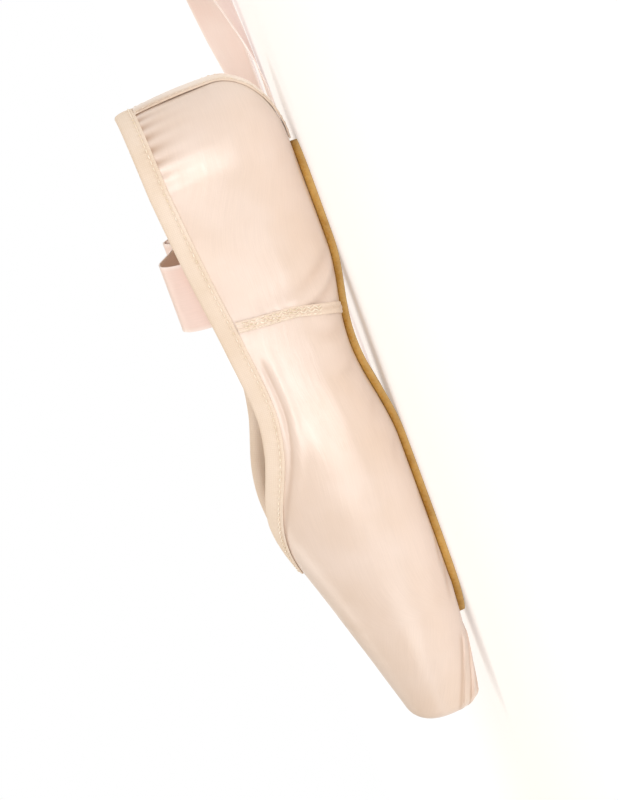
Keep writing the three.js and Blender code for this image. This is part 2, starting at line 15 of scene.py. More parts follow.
import bmesh
import bpy
import numpy as np
from mathutils import Matrix, Vector


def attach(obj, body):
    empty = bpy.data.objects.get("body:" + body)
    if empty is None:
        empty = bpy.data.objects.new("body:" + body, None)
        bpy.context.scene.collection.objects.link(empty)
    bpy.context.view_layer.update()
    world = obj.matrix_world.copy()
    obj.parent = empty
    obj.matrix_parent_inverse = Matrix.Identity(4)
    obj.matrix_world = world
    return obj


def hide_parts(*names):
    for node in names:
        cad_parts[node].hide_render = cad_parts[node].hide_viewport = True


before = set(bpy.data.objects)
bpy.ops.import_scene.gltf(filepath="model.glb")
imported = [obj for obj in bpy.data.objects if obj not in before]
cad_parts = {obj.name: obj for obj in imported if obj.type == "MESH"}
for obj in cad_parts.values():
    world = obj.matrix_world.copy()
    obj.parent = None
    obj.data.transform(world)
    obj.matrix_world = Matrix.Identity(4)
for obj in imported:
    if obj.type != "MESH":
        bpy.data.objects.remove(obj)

Array = np.ndarray
Colour = tuple[float, float, float, float]
Socket = bpy.types.NodeSocket

MM = 0.001
EVEN = (1, 1, 1)
CLOUD_BAND = (0.3, 0.7)
RIB_SCALE = 0.16
LOG = logging.getLogger("pointe_shoe")


class Side(Enum):
    """Side of the shoe. The value is the sign of its Y."""

    LEFT = 1
    RIGHT = -1


class Lining(Enum):
    """What a face of the upper is made of, as its place in the list of materials."""

    OUTSIDE = 0
    INSIDE = 1


def ease(t: Array) -> Array:
    """Smooth step from 0 to 1."""
    c = np.clip(t, 0.0, 1.0)
    return c * c * (3.0 - 2.0 * c)


def bell(distance: Array, width: float) -> Array:
    """Rounded bump, 1 at distance 0 and fading over the width."""
    return np.exp(-((distance / width) ** 2))


def along(stations: Array, values: Array, s: Array) -> Array:
    """Reads a table on a smooth curve through its rows.

    Args:
        stations: places of the rows, rising.
        values: the table's values there.
        s: places to read.

    Returns:
        The values at s, held level beyond both ends.
    """
    slopes = np.empty(len(values))
    slopes[1:-1] = (values[2:] - values[:-2]) / (stations[2:] - stations[:-2])
    slopes[0] = (values[1] - values[0]) / (stations[1] - stations[0])
    slopes[-1] = (values[-1] - values[-2]) / (stations[-1] - stations[-2])
    s = np.clip(s, stations[0], stations[-1])
    i = np.clip(np.searchsorted(stations, s, side="right") - 1, 0, len(stations) - 2)
    span = stations[i + 1] - stations[i]
    t = (s - stations[i]) / span
    t2, t3 = t * t, t * t * t
    near = (2 * t3 - 3 * t2 + 1) * values[i] + (t3 - 2 * t2 + t) * span * slopes[i]
    far = (3 * t2 - 2 * t3) * values[i + 1] + (t3 - t2) * span * slopes[i + 1]
    return near + far


def column(rows: tuple, name: str, s: Array) -> Array:
    """Reads one named column of a table of rows at stations s."""
    stations = np.array([row.s for row in rows], float)
    return along(stations, np.array([getattr(row, name) for row in rows], float), s)


def unit(vectors: Array) -> Array:
    """Vectors brought to length 1."""
    return vectors / np.maximum(np.linalg.norm(vectors, axis=-1, keepdims=True), 1e-9)


def run_lengths(points: Array) -> Array:
    """Distance along a line of points, from its first."""
    steps = np.linalg.norm(np.diff(points, axis=0), axis=-1)
    return np.concatenate([[0.0], np.cumsum(steps)])


def at_lengths(points: Array, lengths: Array) -> Array:
    """Points at given distances along a line of points."""
    run = run_lengths(points)
    return np.stack([np.interp(lengths, run, points[:, k]) for k in range(points.shape[1])], axis=-1)


def flipped(points: Array) -> Array:
    """The same points on the other side of the shoe."""
    return points * np.array([1.0, -1.0, 1.0])


def linear(code: str) -> Colour:
    """Colour for a shader from its screen code, such as efe0d2."""
    parts = [int(code[k : k + 2], 16) / 255 for k in (0, 2, 4)]
    rgb = [c / 12.92 if c <= 0.04045 else ((c + 0.055) / 1.055) ** 2.4 for c in parts]
    return (rgb[0], rgb[1], rgb[2], 1.0)


class Section(NamedTuple):
    """Sizes of the last across one station."""

    s: float
    half: float
    wide: float
    flat: float
    crown: float


class SoleRow(NamedTuple):
    """Half width of the outsole at a station."""

    s: float
    half: float


class CollarRow(NamedTuple):
    """Turn of the collar edge down from the top line, in degrees, at a distance behind the throat."""

    s: float
    turn: float


class PleatRow(NamedTuple):
    """Levels of the raised edges of the three pleats at a station."""

    s: float
    first: float
    second: float
    third: float


@dataclass(frozen=True)
class Last:
    """The straight last that every curved piece is worked out from.

    A place on it is (u, v). The first, u, runs round the heel below 0 and forward above 0. The level, v, runs
    from 0 to 1 over the flat underneath, to 2 up to the widest level and to 3 up to the top line.
    """

    origin_s: float = 118.0
    platform_s: float = 237.0
    heel_axis_s: float = 28.0
    throat_s: float = 170.0
    wall: float = 2.0
    platform_wall: float = 4.0
    clearance: float = 0.3
    platform_round: float = 3.2
    shoulder_fullness: float = 0.05
    sole_thick: float = 2.6
    arch_from: float = 64.0
    arch_to: float = 136.0
    arch_rise: float = 4.5
    spring_from: float = 186.0
    spring_rate: float = 0.0018
    sole_heel: float = 30.0
    sole_heel_radius: float = 12.5
    sole_toe: float = 208.0
    sole_toe_round: float = 32.0
    turned_edge: float = 6.0
    hole_heel_s: float = 44.0
    hole_meets_s: float = 60.0
    hole_round_s: float = 172.0
    hole_toe_s: float = 197.0
    heel_back_half: float = 28.0
    heel_back_flat: float = 2.0
    throat_round: float = 3.0
    sections: tuple[Section, ...] = (
        Section(28, 28.8, 22.0, 9.5, 95.0),
        Section(55, 29.3, 21.5, 13.5, 93.0),
        Section(85, 30.4, 21.5, 14.0, 88.0),
        Section(110, 33.8, 20.0, 17.5, 79.0),
        Section(135, 38.2, 18.4, 23.5, 66.5),
        Section(157, 40.0, 17.4, 26.5, 56.0),
        Section(182, 38.9, 17.2, 26.0, 47.5),
        Section(205, 34.4, 17.8, 20.5, 40.5),
        Section(222, 28.6, 18.6, 16.0, 35.6),
        Section(237, 22.8, 19.4, 12.6, 31.4),
    )
    sole_rows: tuple[SoleRow, ...] = (
        SoleRow(30, 12.5),
        SoleRow(60, 13.0),
        SoleRow(90, 12.2),
        SoleRow(120, 17.0),
        SoleRow(148, 23.6),
        SoleRow(165, 25.3),
        SoleRow(185, 24.6),
        SoleRow(208, 22.0),
    )
    collar_rows: tuple[CollarRow, ...] = (
        CollarRow(0, 0),
        CollarRow(10, 14.0),
        CollarRow(20, 27.5),
        CollarRow(30, 40.5),
        CollarRow(40, 51.5),
        CollarRow(50, 59.5),
        CollarRow(63, 65.0),
        CollarRow(87, 67.2),
        CollarRow(117, 66.0),
        CollarRow(143, 64.9),
        CollarRow(189, 63.6),
    )

    @property
    def bottom(self) -> float:
        """Height of the upper's underside over the floor."""
        return self.sole_thick + self.clearance

    @property
    def fan(self) -> float:
        """Length of the heel's fan of sections, from its centre back to its side."""
        return self.heel_axis_s * math.pi / 2

    @property
    def throat_u(self) -> float:
        """Place of the throat's tip."""
        return self.throat_s - self.heel_axis_s

    def ground(self, s: Array) -> Array:
        """Height of the outsole's lower face over the floor."""
        a = np.clip((s - self.arch_from) / (self.arch_to - self.arch_from), 0.0, 1.0)
        past = np.maximum(0.0, s - self.spring_from)
        return self.arch_rise * np.sin(np.pi * a) ** 2 + self.spring_rate * past**2

    def sole_half(self, s: Array) -> Array:
        """Half width of the outsole, with its two round ends."""
        heel = np.maximum(0.0, self.sole_heel + self.sole_heel_radius - s) / self.sole_heel_radius
        toe = np.maximum(0.0, s - self.sole_toe + self.sole_toe_round) / self.sole_toe_round
        ends = np.sqrt(np.maximum(0.0, 1 - heel**2)) * np.sqrt(np.maximum(0.0, 1 - toe**2.4))
        return column(self.sole_rows, "half", s) * ends

    def station(self, u: Array) -> dict[str, Array]:
        """Section sizes, axis and direction in plan at u."""
        ahead = np.maximum(u, 0.0)
        angle = np.where(u < 0, (1 + u / self.fan) * (math.pi / 2), math.pi / 2)
        sizes = {n: column(self.sections, n, self.heel_axis_s + ahead) for n in Section._fields[1:]}
        turn = np.sin(angle) ** 2
        for name, back in (("half", self.heel_back_half), ("flat", self.heel_back_flat)):
            sizes[name] = np.where(u < 0, back + (sizes[name] - back) * turn, sizes[name])
        ds = np.where(u < 0, -np.cos(angle), 0.0)
        return {"axis": self.heel_axis_s + ahead, "ds": ds, "dy": np.sin(angle), **sizes}

    def hole_edge(self, u: Array, station: dict[str, Array]) -> tuple[Array, Array]:
        """Edge of the opening that the outsole closes, as s and y."""
        radius = self.sole_half(np.array(self.hole_heel_s)) - self.turned_edge
        lead = np.maximum(0.0, 1 - u / (self.hole_meets_s - self.heel_axis_s))
        s = station["axis"] + lead * (self.hole_heel_s - self.heel_axis_s)
        t = np.maximum(0.0, s - self.hole_round_s) / (self.hole_toe_s - self.hole_round_s)
        half = self.sole_half(np.minimum(s, self.hole_round_s)) - self.turned_edge
        y = half * np.sqrt(np.maximum(0.0, 1 - t * t))
        heel_s = self.hole_heel_s + radius * station["ds"]
        return np.where(u < 0, heel_s, s), np.where(u < 0, radius * station["dy"], y)

    def point(self, u: Array, v: Array, inset: Array = 0.0) -> Array:
        """Points of the last's left half.

        Args:
            u: places along it.
            v: levels.
            inset: distance inside the surface, below 0 outside it.

        Returns:
            The points, in millimetres, with x, y and z along the last axis.
        """
        u, v, inset = np.broadcast_arrays(*(np.asarray(a, float) for a in (u, v, inset)))
        at = self.station(u)
        hole_s, hole_y = self.hole_edge(u, at)
        low = np.clip(v, 0.0, 1.0)
        s0 = hole_s + (at["axis"] + at["ds"] * at["flat"] - hole_s) * low
        y0 = hole_y + (at["dy"] * at["flat"] - hole_y) * low
        z0 = self.ground(s0) + self.bottom + inset
        angle = np.clip(v - 1, 0.0, 1.0) * (math.pi / 2)
        r1 = at["flat"] + (at["half"] - inset - at["flat"]) * np.sin(angle)
        floor = self.ground(at["axis"] + at["ds"] * r1) + self.bottom + inset
        z1 = floor + (at["wide"] - floor) * (1 - np.cos(angle))
        high = np.clip(v - 2, 0.0, 1.0) * (math.pi / 2)
        full = 1 + self.shoulder_fullness * np.sin(2 * high) ** 2
        r2 = (at["half"] - inset) * np.cos(high) * full
        z2 = at["wide"] + (at["crown"] - inset - at["wide"]) * np.sin(high) * full
        r = np.where(v <= 2, r1, r2)
        s = np.where(v <= 1, s0, at["axis"] + at["ds"] * r)
        y = np.where(v <= 1, y0, at["dy"] * r)
        z = np.where(v <= 1, z0, np.where(v <= 2, z1, z2))
        return np.stack([s - self.origin_s, y, z], axis=-1)

    def slopes(self, u: Array, v: Array) -> tuple[Array, Array]:
        """Rates of the surface's points in u and in v."""
        h = 0.01
        du = (self.point(u + h, v) - self.point(u - h, v)) / (2 * h)
        dv = (self.point(u, v + h / 10) - self.point(u, v - h / 10)) / (h / 5)
        return du, dv

    def normal(self, u: Array, v: Array) -> Array:
        """Outward normals of the left half."""
        du, dv = self.slopes(u, v)
        return -unit(np.cross(du, dv))

    def step_over(self, u: Array, v: Array, direction: Array, distance: Array, inset: Array) -> Array:
        """Points at a distance in a direction over the surface, raised or sunk by an inset."""
        du, dv = self.slopes(u, v)
        a, b, c = (du * du).sum(-1), (du * dv).sum(-1), (dv * dv).sum(-1)
        p, q = (du * direction).sum(-1) * distance, (dv * direction).sum(-1) * distance
        det = a * c - b * b
        return self.point(u + (p * c - q * b) / det, v + (a * q - b * p) / det, inset)

    def collar_level(self, u: Array) -> Array:
        """Level of the collar edge at u: 3, the top line, from the throat forward."""
        behind = np.maximum(0.0, self.throat_u - u)
        softened = np.sqrt(behind**2 + 2 * self.throat_round * behind)
        return 3 - column(self.collar_rows, "turn", softened) / 90

    def level_below_collar(self, u: Array, distance: float) -> Array:
        """Level at a distance under the collar edge."""
        level = self.collar_level(u)
        rate = np.linalg.norm(self.slopes(u, level - 0.01)[1], axis=-1)
        return level - distance / rate

    def collar_u(self, step: float) -> Array:
        """Places from the centre back to the throat's tip, a step apart along the collar edge."""
        rough = np.concatenate(
            [np.linspace(-self.fan, 0, 80)[:-1], self.throat_u * (1 - np.linspace(1, 0, 400) ** 1.4)]
        )
        run = run_lengths(self.point(rough, self.collar_level(rough)))
        count = int(round(run[-1] / step))
        return np.interp(np.linspace(0, run[-1], count + 1), run, rough)


@dataclass
class Piece:
    """Points, faces and marks of one piece, gathered grid by grid, in millimetres."""

    name: str
    count: int = 0
    points: list[Array] = field(default_factory=list)
    faces: list[Array] = field(default_factory=list)
    uvs: list[Array] = field(default_factory=list)
    marks: list[Array] = field(default_factory=list)
    slots: list[Array] = field(default_factory=list)

    def grid(
        self,
        points: Array,
        flip: bool = False,
        mark: Array | float = 0.0,
        uv: Array | None = None,
        slot: int = 0,
    ) -> None:
        """Adds a skin over a grid of points.

        Args:
            points: rows and columns of points.
            flip: whether the faces look the other way.
            mark: painted shade, darkening, groove or edge value of each point, from 0 to 1.
            uv: texture places in metres. Where none is given they are measured over the grid.
            slot: place of its material in the piece's list.
        """
        rows, columns = points.shape[:2]
        ids = np.arange(rows * columns).reshape(rows, columns) + self.count
        quads = np.stack([ids[:-1, :-1], ids[1:, :-1], ids[1:, 1:], ids[:-1, 1:]], axis=-1).reshape(-1, 4)
        self.faces.append(quads[:, ::-1] if flip else quads)
        self.points.append(points.reshape(-1, 3))
        self.uvs.append((self.measured(points) if uv is None else uv).reshape(-1, 2))
        self.marks.append(np.broadcast_to(mark, (rows, columns)).reshape(-1))
        self.slots.append(np.full(len(quads), slot))
        self.count += rows * columns

    def slab(
        self,
        over: Array,
        under: Array,
        flip: bool = True,
        mark: Array | float = 0.0,
        under_mark: Array | float = 0.0,
    ) -> None:
        """Adds a closed plate.

        Args:
            over: grid of points of its outer skin.
            under: grid of points of its inner skin.
            flip: whether the outer skin's faces look the other way.
            mark: mark of the outer skin.
            under_mark: mark of the inner skin, which its long sides share.
        """
        self.grid(over, flip=flip, mark=mark)
        self.grid(under, flip=not flip, mark=under_mark)
        rim_mark = np.max(under_mark)
        for k in (0, -1):
            self.grid(np.stack([under[:, k], over[:, k]], axis=1), flip=flip == (k == -1), mark=rim_mark)
            self.grid(np.stack([under[k], over[k]], axis=1), flip=flip == (k == 0))

    @staticmethod
    def measured(points: Array) -> Array:
        """Texture places of a grid: distances along its rows and columns, in metres."""
        down = np.linalg.norm(np.diff(points, axis=0), axis=-1).mean(axis=1)
        across = np.linalg.norm(np.diff(points, axis=1), axis=-1)
        first = np.concatenate([[0.0], np.cumsum(down)])
        second = np.concatenate([np.zeros((len(points), 1)), np.cumsum(across, axis=1)], axis=1)
        return np.stack([np.broadcast_to(first[:, None], second.shape), second], axis=-1) * MM

    def build(self, merge: float = 0.002, sharp: float = 60.0) -> bpy.types.Object:
        """Makes the Blender object.

        Args:
            merge: points closer than this, in millimetres, become one.
            sharp: edges turning more than this, in degrees, are shaded hard.

        Returns:
            The mesh object.
        """
        mesh = bpy.data.meshes.new(self.name)
        faces = np.concatenate(self.faces)
        mesh.from_pydata((np.concatenate(self.points) * MM).tolist(), [], faces.tolist())
        layer = mesh.uv_layers.new(name="UVMap")
        corners = np.concatenate(self.uvs)[faces.reshape(-1)]
        layer.data.foreach_set("uv", corners.astype(np.float32).reshape(-1))
        mark = mesh.attributes.new("mark", "FLOAT", "POINT")
        mark.data.foreach_set("value", np.concatenate(self.marks).astype(np.float32))
        mesh.polygons.foreach_set("material_index", np.concatenate(self.slots).astype(np.int32))
        welded = bmesh.new()
        welded.from_mesh(mesh)
        bmesh.ops.remove_doubles(welded, verts=welded.verts, dist=merge * MM)
        bmesh.ops.dissolve_degenerate(welded, edges=welded.edges, dist=1e-7)
        welded.to_mesh(mesh)
        welded.free()
        mesh.shade_smooth()
        mesh.set_sharp_from_angle(angle=math.radians(sharp))
        piece = bpy.data.objects.new(self.name, mesh)
        bpy.context.scene.collection.objects.link(piece)
        return piece


class Dye:
    """Node tree of one finish, with short calls for the nodes that the finishes share."""

    def __init__(self, name: str) -> None:
        """Starts a material with one principled shader."""
        self.material = bpy.data.materials.new(name)
        self.material.use_nodes = True
        self.tree = self.material.node_tree
        self.shader = self.tree.nodes["Principled BSDF"]

    def node(self, kind: str, inputs: dict | None = None, **settings: object) -> bpy.types.Node:
        """Adds a node.

        Args:
            kind: its type, without ShaderNode.
            inputs: sockets or values by input name or place.
            settings: the node's own properties.

        Returns:
            The node.
        """
        node = self.tree.nodes.new("ShaderNode" + kind)
        for key, value in settings.items():
            setattr(node, key, value)
        for key, value in (inputs or {}).items():
            self.feed(node.inputs[key], value)
        return node

    def feed(self, target: Socket, value: object) -> None:
        """Links a socket to an input, or sets the input's value."""
        if isinstance(value, bpy.types.NodeSocket):
            self.tree.links.new(value, target)
        else:
            target.default_value = value

    def place(self, source: str, stretch: tuple[float, float, float]) -> Socket:
        """Texture places, Object or UV, multiplied by a stretch for each axis."""
        places = self.node("TexCoord").outputs[source]
        return self.node("Mapping", {"Vector": places, "Scale": stretch}).outputs[0]

    def noise(self, places: Socket, scale: float, detail: float = 3.0, rough: float = 0.55) -> Socket:
        """Cloudy values between 0 and 1."""
        inputs = {"Vector": places, "Scale": scale, "Detail": detail, "Roughness": rough}
        return self.node("TexNoise", inputs).outputs["Fac"]

    def tones(self, light: str, deep: str, scale: float, detail: float) -> tuple[Socket, Socket]:
        """Two tones mixed by clouds of a scale, and the clouds."""
        clouds = self.noise(self.place("Object", EVEN), scale, detail)
        return self.mix(self.remap(clouds, *CLOUD_BAND, 0, 1), linear(light), linear(deep)), clouds

    def marked(self, colour: Socket, marking: str, strength: float) -> Socket:
        """A colour mixed towards a tone by the piece's mark, which mostly paints shade."""
        return self.mix(self.sum(self.mark(), strength, "MULTIPLY"), colour, linear(marking))

    def ribs(self, turns: tuple[float, float, float], distortion: float, direction: str = "X") -> Socket:
        """Ribs of thread across the texture places, multiplied by turns a metre."""
        inputs = {"Vector": self.place("UV", turns), "Scale": RIB_SCALE, "Distortion": distortion}
        return self.node("TexWave", inputs, bands_direction=direction).outputs["Fac"]

    def mark(self) -> Socket:
        """The piece's own mark: painted shade, darkening, groove or edge."""
        return self.node("Attribute", attribute_name="mark").outputs["Fac"]

    def remap(self, value: Socket, low: float, high: float, to_low: float, to_high: float) -> Socket:
        """Values from one range brought to another, held at its ends."""
        inputs = {0: value, 1: low, 2: high, 3: to_low, 4: to_high}
        return self.node("MapRange", inputs, clamp=True).outputs[0]

    def mix(self, share: Socket, first: object, second: object, blend: str = "MIX") -> Socket:
        """Mixes two colours."""
        node = self.node("Mix", {0: share, 6: first, 7: second}, data_type="RGBA", blend_type=blend)
        return node.outputs[2]

    def sum(self, first: Socket, second: object, kind: str = "ADD") -> Socket:
        """Adds two values, or joins them by another kind of sum."""
        return self.node("Math", {0: first, 1: second}, operation=kind).outputs[0]

    def bump(self, height: Socket, depth: float, under: Socket | None = None) -> Socket:
        """Relief of a depth in millimetres, over another one if it is given."""
        inputs = {"Height": height, "Distance": depth * MM, "Strength": 1.0}
        if under is not None:
            inputs["Normal"] = under
        return self.node("Bump", inputs).outputs[0]

    def finish(self, inputs: dict) -> bpy.types.Material:
        """Sets the shader's inputs and returns the material."""
        for key, value in inputs.items():
            self.feed(self.shader.inputs[key], value)
        return self.material


@dataclass(frozen=True)
class Satin:
    """Shiny satin with its warp along the piece's first texture direction."""

    name: str = "ivory_satin"
    light: str = "ebd9cd"
    deep: str = "e2ccba"
    # Tone that the mark mixes in; on the upper and strips it is painted shade in folds and grooves.
    marking: str = "a97f58"
    roughness: float = 0.32
    anisotropy: float = 0.65
    sheen: float = 0.05
    thread: float = 0.02
    slub: float = 0.05
    streak: float = 0.965
    warp_turns: tuple[float, float, float] = (90, 2600, 1)
    weft_turns: tuple[float, float, float] = (3200, 300, 1)
    slub_turns: tuple[float, float, float] = (60, 420, 1)

    def material(self) -> bpy.types.Material:
        """Makes the material: two tones, a tone mixed in by the piece's mark (painted shade in the folds),
        fine threads and a stretched gloss.
        """
        dye = Dye(self.name)
        warp = dye.noise(dye.place("UV", self.warp_turns), 1.0, 2.0)
        weft = dye.noise(dye.place("UV", self.weft_turns), 1.0, 1.0)
        slubs = dye.noise(dye.place("UV", self.slub_turns), 1.0, 3.0)
        colour, _ = dye.tones(self.light, self.deep, 28.0, 3.0)
        streak = dye.remap(warp, 0.35, 0.65, self.streak, 1.0)
        grey = dye.node("CombineColor", {0: streak, 1: streak, 2: streak}).outputs[0]
        colour = dye.mix(1.0, colour, grey, "MULTIPLY")
        # The mark mixes in the marking tone: painted shade in the folds of the upper and strips.
        colour = dye.marked(colour, self.marking, 0.85)
        relief = dye.bump(weft, self.thread, dye.bump(warp, self.thread, dye.bump(slubs, self.slub)))
        gloss = dye.remap(slubs, *CLOUD_BAND, self.roughness - 0.04, self.roughness + 0.05)
        tangent = dye.node("Tangent", direction_type="UV_MAP", uv_map="UVMap").outputs[0]
        return dye.finish(
            {
                "Base Color": colour,
                "Roughness": gloss,
                "Normal": relief,
                "Tangent": tangent,
                "Anisotropic": self.anisotropy,
                "Sheen Weight": self.sheen,
                "Sheen Roughness": 0.4,
                "Sheen Tint": linear("fff1e2"),
                "Specular IOR Level": 1.0,
                "Coat Weight": 0.12,
                "Coat Roughness": 0.28,
            }
        )


@dataclass(frozen=True)
class Tape:
    """Matt cotton tape with a plain weave, darkened with painted shade in its folds."""

    name: str = "cotton_tape"
    light: str = "f1e2d3"
    deep: str = "e8d6c2"
    marking: str = "b08a62"
    pitch: float = 0.34
    roughness: float = 0.72

    def material(self) -> bpy.types.Material:
        """Makes the material: crossed ribs of thread, two tones and painted shade by the mark."""
        dye = Dye(self.name)
        turns = 1.0 / (self.pitch * MM)
        warp, weft = dye.ribs((turns, 0, 0), 0.6), dye.ribs((0, turns, 0), 0.6, "Y")
        weave = dye.sum(warp, weft, "MULTIPLY")
        colour, clouds = dye.tones(self.light, self.deep, 60.0, 4.0)
        colour = dye.mix(dye.remap(weave, 0.0, 0.35, 0.1, 0.0), colour, linear(self.marking))
        colour = dye.marked(colour, self.marking, 0.6)
        return dye.finish(
            {
                "Base Color": colour,
                "Roughness": self.roughness,
                "Normal": dye.bump(weave, 0.03, dye.bump(clouds, 0.15)),
                "Sheen Weight": 0.2,
                "Sheen Tint": linear("fff3df"),
                "Specular IOR Level": 0.35,
            }
        )


@dataclass(frozen=True)
class Leather:
    """Golden split leather, mottled, with scored lines and a paler skived edge."""

    name: str = "sole_leather"
    light: str = "d0a04a"
    deep: str = "a9761f"
    dark: str = "70450f"
    pale: str = "dcc48c"
    roughness: float = 0.78

    def material(self) -> bpy.types.Material:
        """Makes the material. A mark over 0 is a groove, darkened as painted shade, and one under 0 is the
        skived edge.
        """
        dye = Dye(self.name)
        places = dye.place("Object", EVEN)
        mottle = dye.noise(places, 95.0, 6.0, 0.68)
        cloud = dye.noise(places, 24.0, 3.0)
        nap = dye.noise(dye.place("Object", (1400, 2600, 1400)), 1.0, 3.0)
        pits = dye.node("TexVoronoi", {"Vector": places, "Scale": 900.0}).outputs["Distance"]
        colour = dye.mix(dye.remap(mottle, 0.36, 0.64, 0, 1), linear(self.deep), linear(self.light))
        colour = dye.mix(dye.remap(cloud, 0.52, 0.75, 0, 0.45), colour, linear(self.dark))
        colour = dye.mix(dye.remap(nap, 0.35, 0.7, 0.0, 0.22), colour, linear(self.pale))
        mark = dye.mark()
        # Grooves darkened as painted shade; the skived edge paler.
        colour = dye.mix(dye.remap(mark, 0.0, 1.0, 0.0, 0.75), colour, linear(self.dark))
        colour = dye.mix(dye.remap(mark, -1.0, 0.0, 0.7, 0.0), colour, linear(self.pale))
        relief = dye.bump(nap, 0.12, dye.bump(pits, 0.1, dye.bump(mottle, 0.25)))
        rough = dye.remap(mottle, *CLOUD_BAND, self.roughness + 0.08, self.roughness - 0.08)
        return dye.finish(
            {"Base Color": colour, "Roughness": rough, "Normal": relief, "Specular IOR Level": 0.35}
        )


@dataclass(frozen=True)
class Drill:
    """Cotton drill, matt, with a slanting twill."""

    name: str = "cotton_drill"
    light: str = "efe3d4"
    deep: str = "e0cdb6"
    marking: str = "9c7a52"
    pitch: float = 0.9

    def material(self) -> bpy.types.Material:
        """Makes the material: twill ribs over two tones."""
        dye = Dye(self.name)
        turns = 1.0 / (self.pitch * MM)
        twill = dye.ribs((turns, turns, 0), 0.8, "DIAGONAL")
        colour, clouds = dye.tones(self.light, self.deep, 45.0, 5.0)
        colour = dye.mix(dye.remap(twill, 0.0, 0.6, 0.35, 0.0), colour, linear(self.deep))
        colour = dye.marked(colour, self.marking, 0.6)
        return dye.finish(
            {
                "Base Color": colour,
                "Roughness": 0.85,
                "Normal": dye.bump(twill, 0.1, dye.bump(clouds, 0.2)),
                "Sheen Weight": 0.1,
                "Specular IOR Level": 0.25,
            }
        )


@dataclass(frozen=True)
class Thread:
    """Twisted sewing thread."""

    name: str = "cream_thread"
    light: str = "fff7ea"
    deep: str = "ecdcc0"

    def material(self) -> bpy.types.Material:
        """Makes the material: twist lines along the stitch and two tones."""
        dye = Dye(self.name)
        twist = dye.node("TexWave", {"Vector": dye.place("UV", (2600, 1300, 0)), "Scale": 0.3})
        twist.bands_direction = "DIAGONAL"
        colour, _ = dye.tones(self.light, self.deep, 300.0, 2.0)
        relief = dye.bump(twist.outputs["Fac"], 0.05)
        return dye.finish({"Base Color": colour, "Roughness": 0.55, "Normal": relief, "Sheen Weight": 0.2})


@dataclass(frozen=True)
class Paper:
    """Pale floor of the studio."""

    name: str = "studio_paper"
    tone: str = "e6e6e6"
    near: float = 0.16
    far: float = 0.6
    near_glow: float = 0.34

    def material(self) -> bpy.types.Material:
        """Makes the material: a faint tooth near the shoe, and an even white far from it."""
        dye = Dye(self.name)
        places = dye.place("Object", EVEN)
        tooth = dye.noise(places, 900.0, 2.0)
        distance = dye.node("VectorMath", {0: places}, operation="LENGTH").outputs["Value"]
        away = dye.remap(distance, self.near, self.far, 0.0, 1.0)
        return dye.finish(
            {
                "Base Color": dye.mix(away, linear(self.tone), linear("000000")),
                "Emission Color": linear("ffffff"),
                "Emission Strength": dye.remap(distance, self.near, self.far, self.near_glow, 1.0),
                "Roughness": 0.9,
                "Normal": dye.bump(tooth, 0.02),
                "Specular IOR Level": 0.1,
            }
        )


@dataclass(frozen=True)
class StitchRow:
    """A row of stitches: small bent tubes of thread whose ends dip into the cloth."""

    pitch: float
    stitch: float
    radius: float
    lift: float = 0.1
    swing: float = 0.0

    def sew(self, piece: Piece, path: Array, normals: Array) -> None:
        """Adds the stitches to a piece.

        Args:
            piece: the piece of thread that they join.
            path: line of points that the row follows on the surface.
            normals: outward normals of the surface there.
        """
        total = run_lengths(path)[-1]
        count = max(1, int(total / self.pitch))
        starts = (np.arange(count) + 0.5) * total / count - self.stitch / 2
        share = np.array([0.0, 0.12, 0.35, 0.65, 0.88, 1.0])
        lengths = starts[:, None] + share * self.stitch
        middle = at_lengths(path, lengths.reshape(-1)).reshape(count, len(share), 3)
        run = run_lengths(path)
        up = np.stack([np.interp(lengths, run, normals[:, k]) for k in range(3)], axis=-1)
        up = unit(up)
        ahead = unit(np.gradient(middle, axis=1))
        aside = unit(np.cross(ahead, up))
        if self.swing:
            zigzag = np.where(np.arange(count) % 2, 1.0, -1.0)[:, None] * (share * 2 - 1)
            middle = middle + aside * (zigzag * self.swing)[..., None]
            aside = unit(np.cross(unit(np.gradient(middle, axis=1)), up))
        dip = np.array([-2.0, -0.4, 1.0, 1.0, -0.4, -2.0]) * self.radius
        middle = middle + up * (dip + self.lift)[:, None]
        girth = np.array([0.5, 0.85, 1.0, 1.0, 0.85, 0.5]) * self.radius
        turn = np.linspace(0, 2 * math.pi, 7)
        across = aside[:, :, None] * np.cos(turn)[:, None] + up[:, :, None] * np.sin(turn)[:, None]
        rings = middle[:, :, None] + across * girth[:, None, None]
        for ring in rings:
            piece.grid(ring, flip=True)


@dataclass(frozen=True)
class Crease:
    """Soft ridge, or trough where its height is below 0, along a line of (s, level) on one side, with painted
    shade by its marking.
    """

    side: Side
    line: tuple[tuple[float, float], ...]
    height: float
    width: float
    marking: float = 0.0

    def apply(self, last: Last, base: Array, relief: Array, marking: Array) -> None:
        """Adds the crease to the relief and painted shade of a grid of the left half's points, in place."""
        knots = np.array(self.line, float)
        t = np.linspace(0, 1, 30)
        places = np.linspace(0, 1, len(knots))
        s, level = along(places, knots[:, 0], t), along(places, knots[:, 1], t)
        path = last.point(s - last.heel_axis_s, level)
        reach = 3 * self.width
        near = np.all((base > path.min(0) - reach) & (base < path.max(0) + reach), axis=-1)
        gaps = np.linalg.norm(base[near][:, None] - path[None], axis=-1)
        nearest = gaps.argmin(axis=1)
        shape = bell(gaps.min(axis=1), self.width) * np.sin(math.pi * np.clip(t[nearest], 0.03, 0.97)) ** 0.7
        relief[near] += self.height * shape
        marking[near] += self.marking * shape


def dress(gathered: Piece, slot: str, materials: list[bpy.types.Material], *nodes: str) -> bpy.types.Object:
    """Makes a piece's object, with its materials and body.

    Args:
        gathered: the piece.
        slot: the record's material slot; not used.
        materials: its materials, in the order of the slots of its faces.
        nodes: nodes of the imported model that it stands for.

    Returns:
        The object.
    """
    piece = gathered.build()
    for material in materials:
        piece.data.materials.append(material)
    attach(piece, "root")
    if nodes:
        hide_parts(*nodes)
    triangles = sum(len(face.vertices) - 2 for face in piece.data.polygons)
    LOG.info("%s: %d triangles", piece.name, triangles)
    return piece


